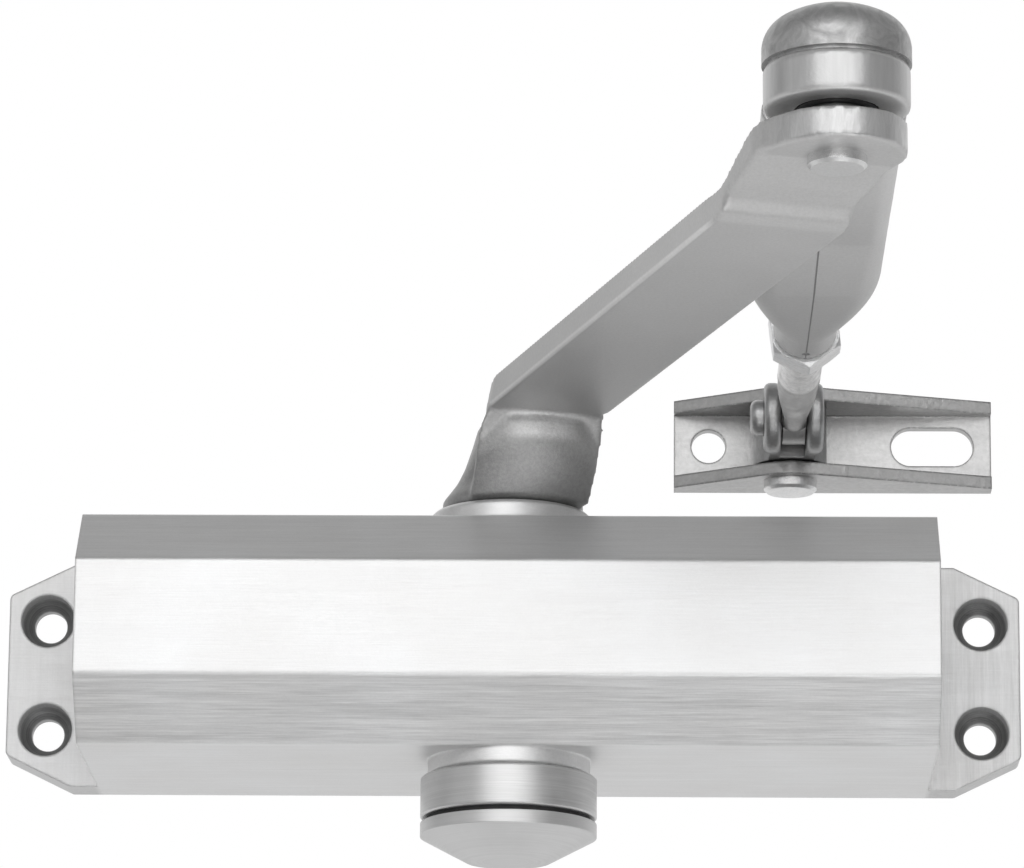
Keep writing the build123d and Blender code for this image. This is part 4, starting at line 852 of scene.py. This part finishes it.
def web_front(s, z):
    """How far the web reaches forward: a leaning barrel with a rounded head over a plain slope."""
    up = (z - HUB_BOTTOM) / (STRIP_BOTTOM - HUB_BOTTOM)
    lean = math.sin(math.pi / 2 * min(up / CREST, 1.0))
    crest = BARREL_FOOT + (BARREL_TOP - BARREL_FOOT) * lean
    fall = CREST_FALL * max(0.0, up - CREST) ** 2
    from_side = max(0.0, abs(s) / WEB_HALF_WIDTH - DROOP_FROM_SIDE)
    from_below = max(0.0, up - DROOP_FROM_HEIGHT) / DROOP_FROM_HEIGHT
    droop = DROOP * from_side ** 2 * from_below
    round_back = BARREL_RADIUS - math.sqrt(BARREL_RADIUS ** 2 - s * s)
    return max(crest - fall - droop - round_back, web_slope(z))


def web_rings():
    """Sections of the web from the hub up into the strip."""
    rings = []
    start = HUB_BOTTOM + WEB_RAISED
    end = STRIP_BOTTOM + WEB_RAISED
    for k in range(WEB_SECTIONS + 1):
        z = start + (end - start) * k / WEB_SECTIONS
        below = WEB_NARROWER_BELOW * (1 - eased(z, HUB_BOTTOM, STRIP_BOTTOM))
        above = WEB_NARROWER_ABOVE * eased(z, WEB_NARROWS_FROM, STRIP_BOTTOM)
        half = WEB_HALF_WIDTH - below - above
        back = web_slope(z) - WEB_DEPTH
        sides = [half * (-1 + 2 * i / WEB_POINTS) for i in range(WEB_POINTS + 1)]
        ring = [(web_front(s, min(z, STRIP_BOTTOM)), s + WEB_ASIDE, z) for s in sides]
        ring += [(back, WEB_BACK_SHARE * s + WEB_ASIDE, z) for s in reversed(sides)]
        rings.append(ring)
    return rings


def hub_rings():
    """Round hub with a thin edge and a flare up to the web."""
    rings = []
    for inward, up, forward in HUB_PROFILE:
        rings.append(round_ring(HUB_RADIUS - inward, HUB_BOTTOM + up, (forward, HUB_ASIDE)))
    return rings


def solid(name, build):
    """An object whose mesh is made by a function that fills a bmesh."""
    work = bmesh.new()
    build(work)
    bmesh.ops.recalc_face_normals(work, faces=work.faces)
    mesh = bpy.data.meshes.new(name)
    work.to_mesh(mesh)
    work.free()
    obj = bpy.data.objects.new(name, mesh)
    bpy.context.scene.collection.objects.link(obj)
    return obj


def settle(obj):
    """Puts the modifiers' result into the object's own mesh."""
    view = bpy.context.evaluated_depsgraph_get()
    view.update()
    mesh = bpy.data.meshes.new_from_object(obj.evaluated_get(view))
    obj.modifiers.clear()
    old = obj.data
    obj.data = mesh
    bpy.data.meshes.remove(old)


def cut(obj, tool):
    """Takes one solid away from another, and the tool with it."""
    modifier = obj.modifiers.new("cut", "BOOLEAN")
    modifier.operation = "DIFFERENCE"
    modifier.solver = "EXACT"
    modifier.object = tool
    settle(obj)
    bpy.data.objects.remove(tool)


def one_skin(obj, voxel, smoothings, group=""):
    """Makes a piece one closed skin and softens its edges."""
    remesh = obj.modifiers.new("one_skin", "REMESH")
    remesh.mode = "VOXEL"
    remesh.voxel_size = voxel
    if group:
        settle(obj)
        weigh_machined(obj.vertex_groups.new(name=group), obj)
    smooth = obj.modifiers.new("soften", "SMOOTH")
    smooth.factor = SMOOTHING
    smooth.iterations = smoothings
    smooth.vertex_group = group
    settle(obj)


def weigh_machined(group, arm):
    """The machined wall of the eye is softened less than the rest."""
    for vertex in arm.data.vertices:
        reach = (vertex.co.xy - KNUCKLE_AXIS.xy).length / MM
        machined = MACHINED_FROM < reach < MACHINED_TO
        group.add([vertex.index], MACHINED_SOFTNESS if machined else 1.0, "REPLACE")


def forged_arm():
    """The main arm as a forging: its forms run into each other and its edges are soft."""
    knuckle = (KNUCKLE_AXIS - PINION_AXIS) * 1000
    along = Vector(ARM_WAY)
    aside = Vector(ARM_SIDE)
    eye = (knuckle.dot(along), knuckle.dot(aside))
    place = Matrix((along, aside, Vector((0, 0, 1)))).transposed().to_4x4()
    place.translation = Vector((PINION_AXIS.x, PINION_AXIS.y, 0))
    place = place @ Matrix.Scale(MM, 4)

    def build(work):
        loft(work, strip_rings())
        loft(work, web_rings())
        loft(work, hub_rings())
        loft(work, [round_ring(EYE_RADIUS, z, eye) for z in (EYE_BOTTOM, EYE_TOP)])
        work.transform(place)

    def room(work):
        top = HUB_BOTTOM + HUB_HEIGHT
        profile = [
            (SQUARE_ROOM, HUB_BOTTOM - OVERRUN),
            (SQUARE_ROOM, top),
            (SHAFT_ROOM, top + 0.05),
            (SHAFT_ROOM, EYE_TOP),
        ]
        loft(work, [round_ring(radius, z, count=48) for radius, z in profile])
        work.transform(place)

    def rivet_hole(work):
        ends = (EYE_BOTTOM - OVERRUN, EYE_TOP + OVERRUN)
        loft(work, [round_ring(RIVET_ROOM, z, eye, 48) for z in ends])
        work.transform(place)

    arm = solid("forged_arm", build)
    one_skin(arm, VOXEL, ARM_SMOOTHINGS, "soft")
    cut(arm, solid("room", room))
    cut(arm, solid("rivet_hole", rivet_hole))
    arm.vertex_groups.clear()
    stand_in(arm, "main_arm", "arm", forging_finish())


def stand_in(obj, node, body, material):
    """Puts a finished piece in a node's place, with smooth shading."""
    for face in obj.data.polygons:
        face.use_smooth = True
    obj.data.materials.clear()
    obj.data.materials.append(material)
    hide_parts(node)
    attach(obj, body)


def rolled_forearm():
    """The forearm with softened edges and its seam nearly closed."""
    mesh = frame["nodes"]["forearm"].data.copy()
    work = bmesh.new()
    work.from_mesh(mesh)
    bmesh.ops.remove_doubles(work, verts=work.verts, dist=WELD)
    work.to_mesh(mesh)
    work.free()
    forearm = bpy.data.objects.new("rolled_forearm", mesh)
    bpy.context.scene.collection.objects.link(forearm)
    one_skin(forearm, FOREARM_VOXEL, FOREARM_SMOOTHINGS)
    stand_in(forearm, "forearm", "forearm", forearm_finish())


# Studio

def world():
    """Pale surroundings: white behind the object, softer above and at the sides."""
    made = bpy.data.worlds.new("studio")
    bpy.context.scene.world = made
    made.use_nodes = True
    sheet = Sheet(made.node_tree)
    made.node_tree.nodes.clear()
    way = sheet.split(sheet.add("ShaderNodeTexCoord").outputs["Generated"])
    behind = sheet.spread(way["Y"], 0.1, 0.9, smooth=True)
    upward = sheet.spread(way["Z"], 0.2, 1.0, smooth=True)
    level = sheet.math("ADD", WORLD_LEVEL, sheet.times(behind, WORLD_BEHIND))
    level = sheet.math("SUBTRACT", level, sheet.times(upward, WORLD_ABOVE))
    ray = sheet.add("ShaderNodeLightPath").outputs
    seen = sheet.math("MAXIMUM", ray["Is Camera Ray"], ray["Is Transmission Ray"])
    seen = sheet.math("MAXIMUM", seen, sheet.times(ray["Is Glossy Ray"], behind))
    shade = sheet.combine(level, level, level)
    background = sheet.add("ShaderNodeBackground")
    sheet.put(sheet.blend(seen, shade, (1, 1, 1, 1)), background.inputs["Color"])
    sheet.put(background.outputs[0], sheet.add("ShaderNodeOutputWorld").inputs["Surface"])


def floor():
    """Plain pale floor, well below the camera."""
    half = FLOOR_SIZE / 2
    mesh = bpy.data.meshes.new("floor")
    corners = [(-half, -half), (half, -half), (half, half), (-half, half)]
    mesh.from_pydata([(x, y, FLOOR_HEIGHT) for x, y in corners], [], [(0, 1, 2, 3)])
    obj = bpy.data.objects.new("floor", mesh)
    bpy.context.scene.collection.objects.link(obj)
    made = Finish("pale_floor", metallic=0.0, roughness=0.8)
    made.colour(FLOOR_COLOUR)
    white = made.add("ShaderNodeEmission")
    depth = made.split(made.place)["Y"]
    level = made.spread(depth, *FLOOR_RISE, smooth=True)
    level = made.times(level, made.spread(depth, *FLOOR_FADE))
    made.put(level, white.inputs["Strength"])
    both = made.add("ShaderNodeMixShader")
    made.put(made.add("ShaderNodeLightPath").outputs["Is Glossy Ray"], both.inputs[0])
    made.put(made.shader.outputs[0], both.inputs[1])
    made.put(white.outputs[0], both.inputs[2])
    surface = next(node for node in made.tree.nodes if node.type == "OUTPUT_MATERIAL").inputs["Surface"]
    made.put(both.outputs[0], surface)
    mesh.materials.append(made.material)


def lamp(name, place, aim, width, height, power):
    """A soft rectangular lamp, aimed at a point."""
    light = bpy.data.lights.new(name, "AREA")
    light.shape = "RECTANGLE"
    light.size = width
    light.size_y = height
    light.energy = power
    obj = bpy.data.objects.new(name, light)
    obj.location = place
    obj.rotation_mode = "QUATERNION"
    obj.rotation_quaternion = (Vector(aim) - Vector(place)).to_track_quat("-Z", "Y")
    bpy.context.scene.collection.objects.link(obj)


def lamps():
    """A broad lamp high in front, one lower, and weaker ones at the left and below."""
    for row in LAMPS:
        lamp(*row)


def camera():
    """The photograph's camera, which looks up from below."""
    data = bpy.data.cameras.new("camera")
    data.lens = CAMERA_LENS
    data.sensor_width = 36
    data.shift_x = CAMERA_SHIFT_X
    data.clip_start = 0.05
    data.clip_end = 20
    forward = Vector(
        (
            math.sin(CAMERA_YAW) * math.cos(CAMERA_PITCH),
            math.cos(CAMERA_YAW) * math.cos(CAMERA_PITCH),
            math.sin(CAMERA_PITCH),
        )
    )
    level = Vector((math.cos(CAMERA_YAW), -math.sin(CAMERA_YAW), 0))
    upright = level.cross(forward)
    right = math.cos(CAMERA_ROLL) * level + math.sin(CAMERA_ROLL) * upright
    up = math.cos(CAMERA_ROLL) * upright - math.sin(CAMERA_ROLL) * level
    turn = Matrix((right, up, -forward)).transposed().to_4x4()
    obj = bpy.data.objects.new("camera", data)
    obj.matrix_world = Matrix.Translation(CAMERA_PLACE) @ turn
    bpy.context.scene.collection.objects.link(obj)
    bpy.context.scene.camera = obj


def studio():
    bpy.context.scene.view_settings.view_transform = "Standard"
    world()
    floor()
    lamps()
    camera()


dress_nodes()
forged_arm()
rolled_forearm()
studio()
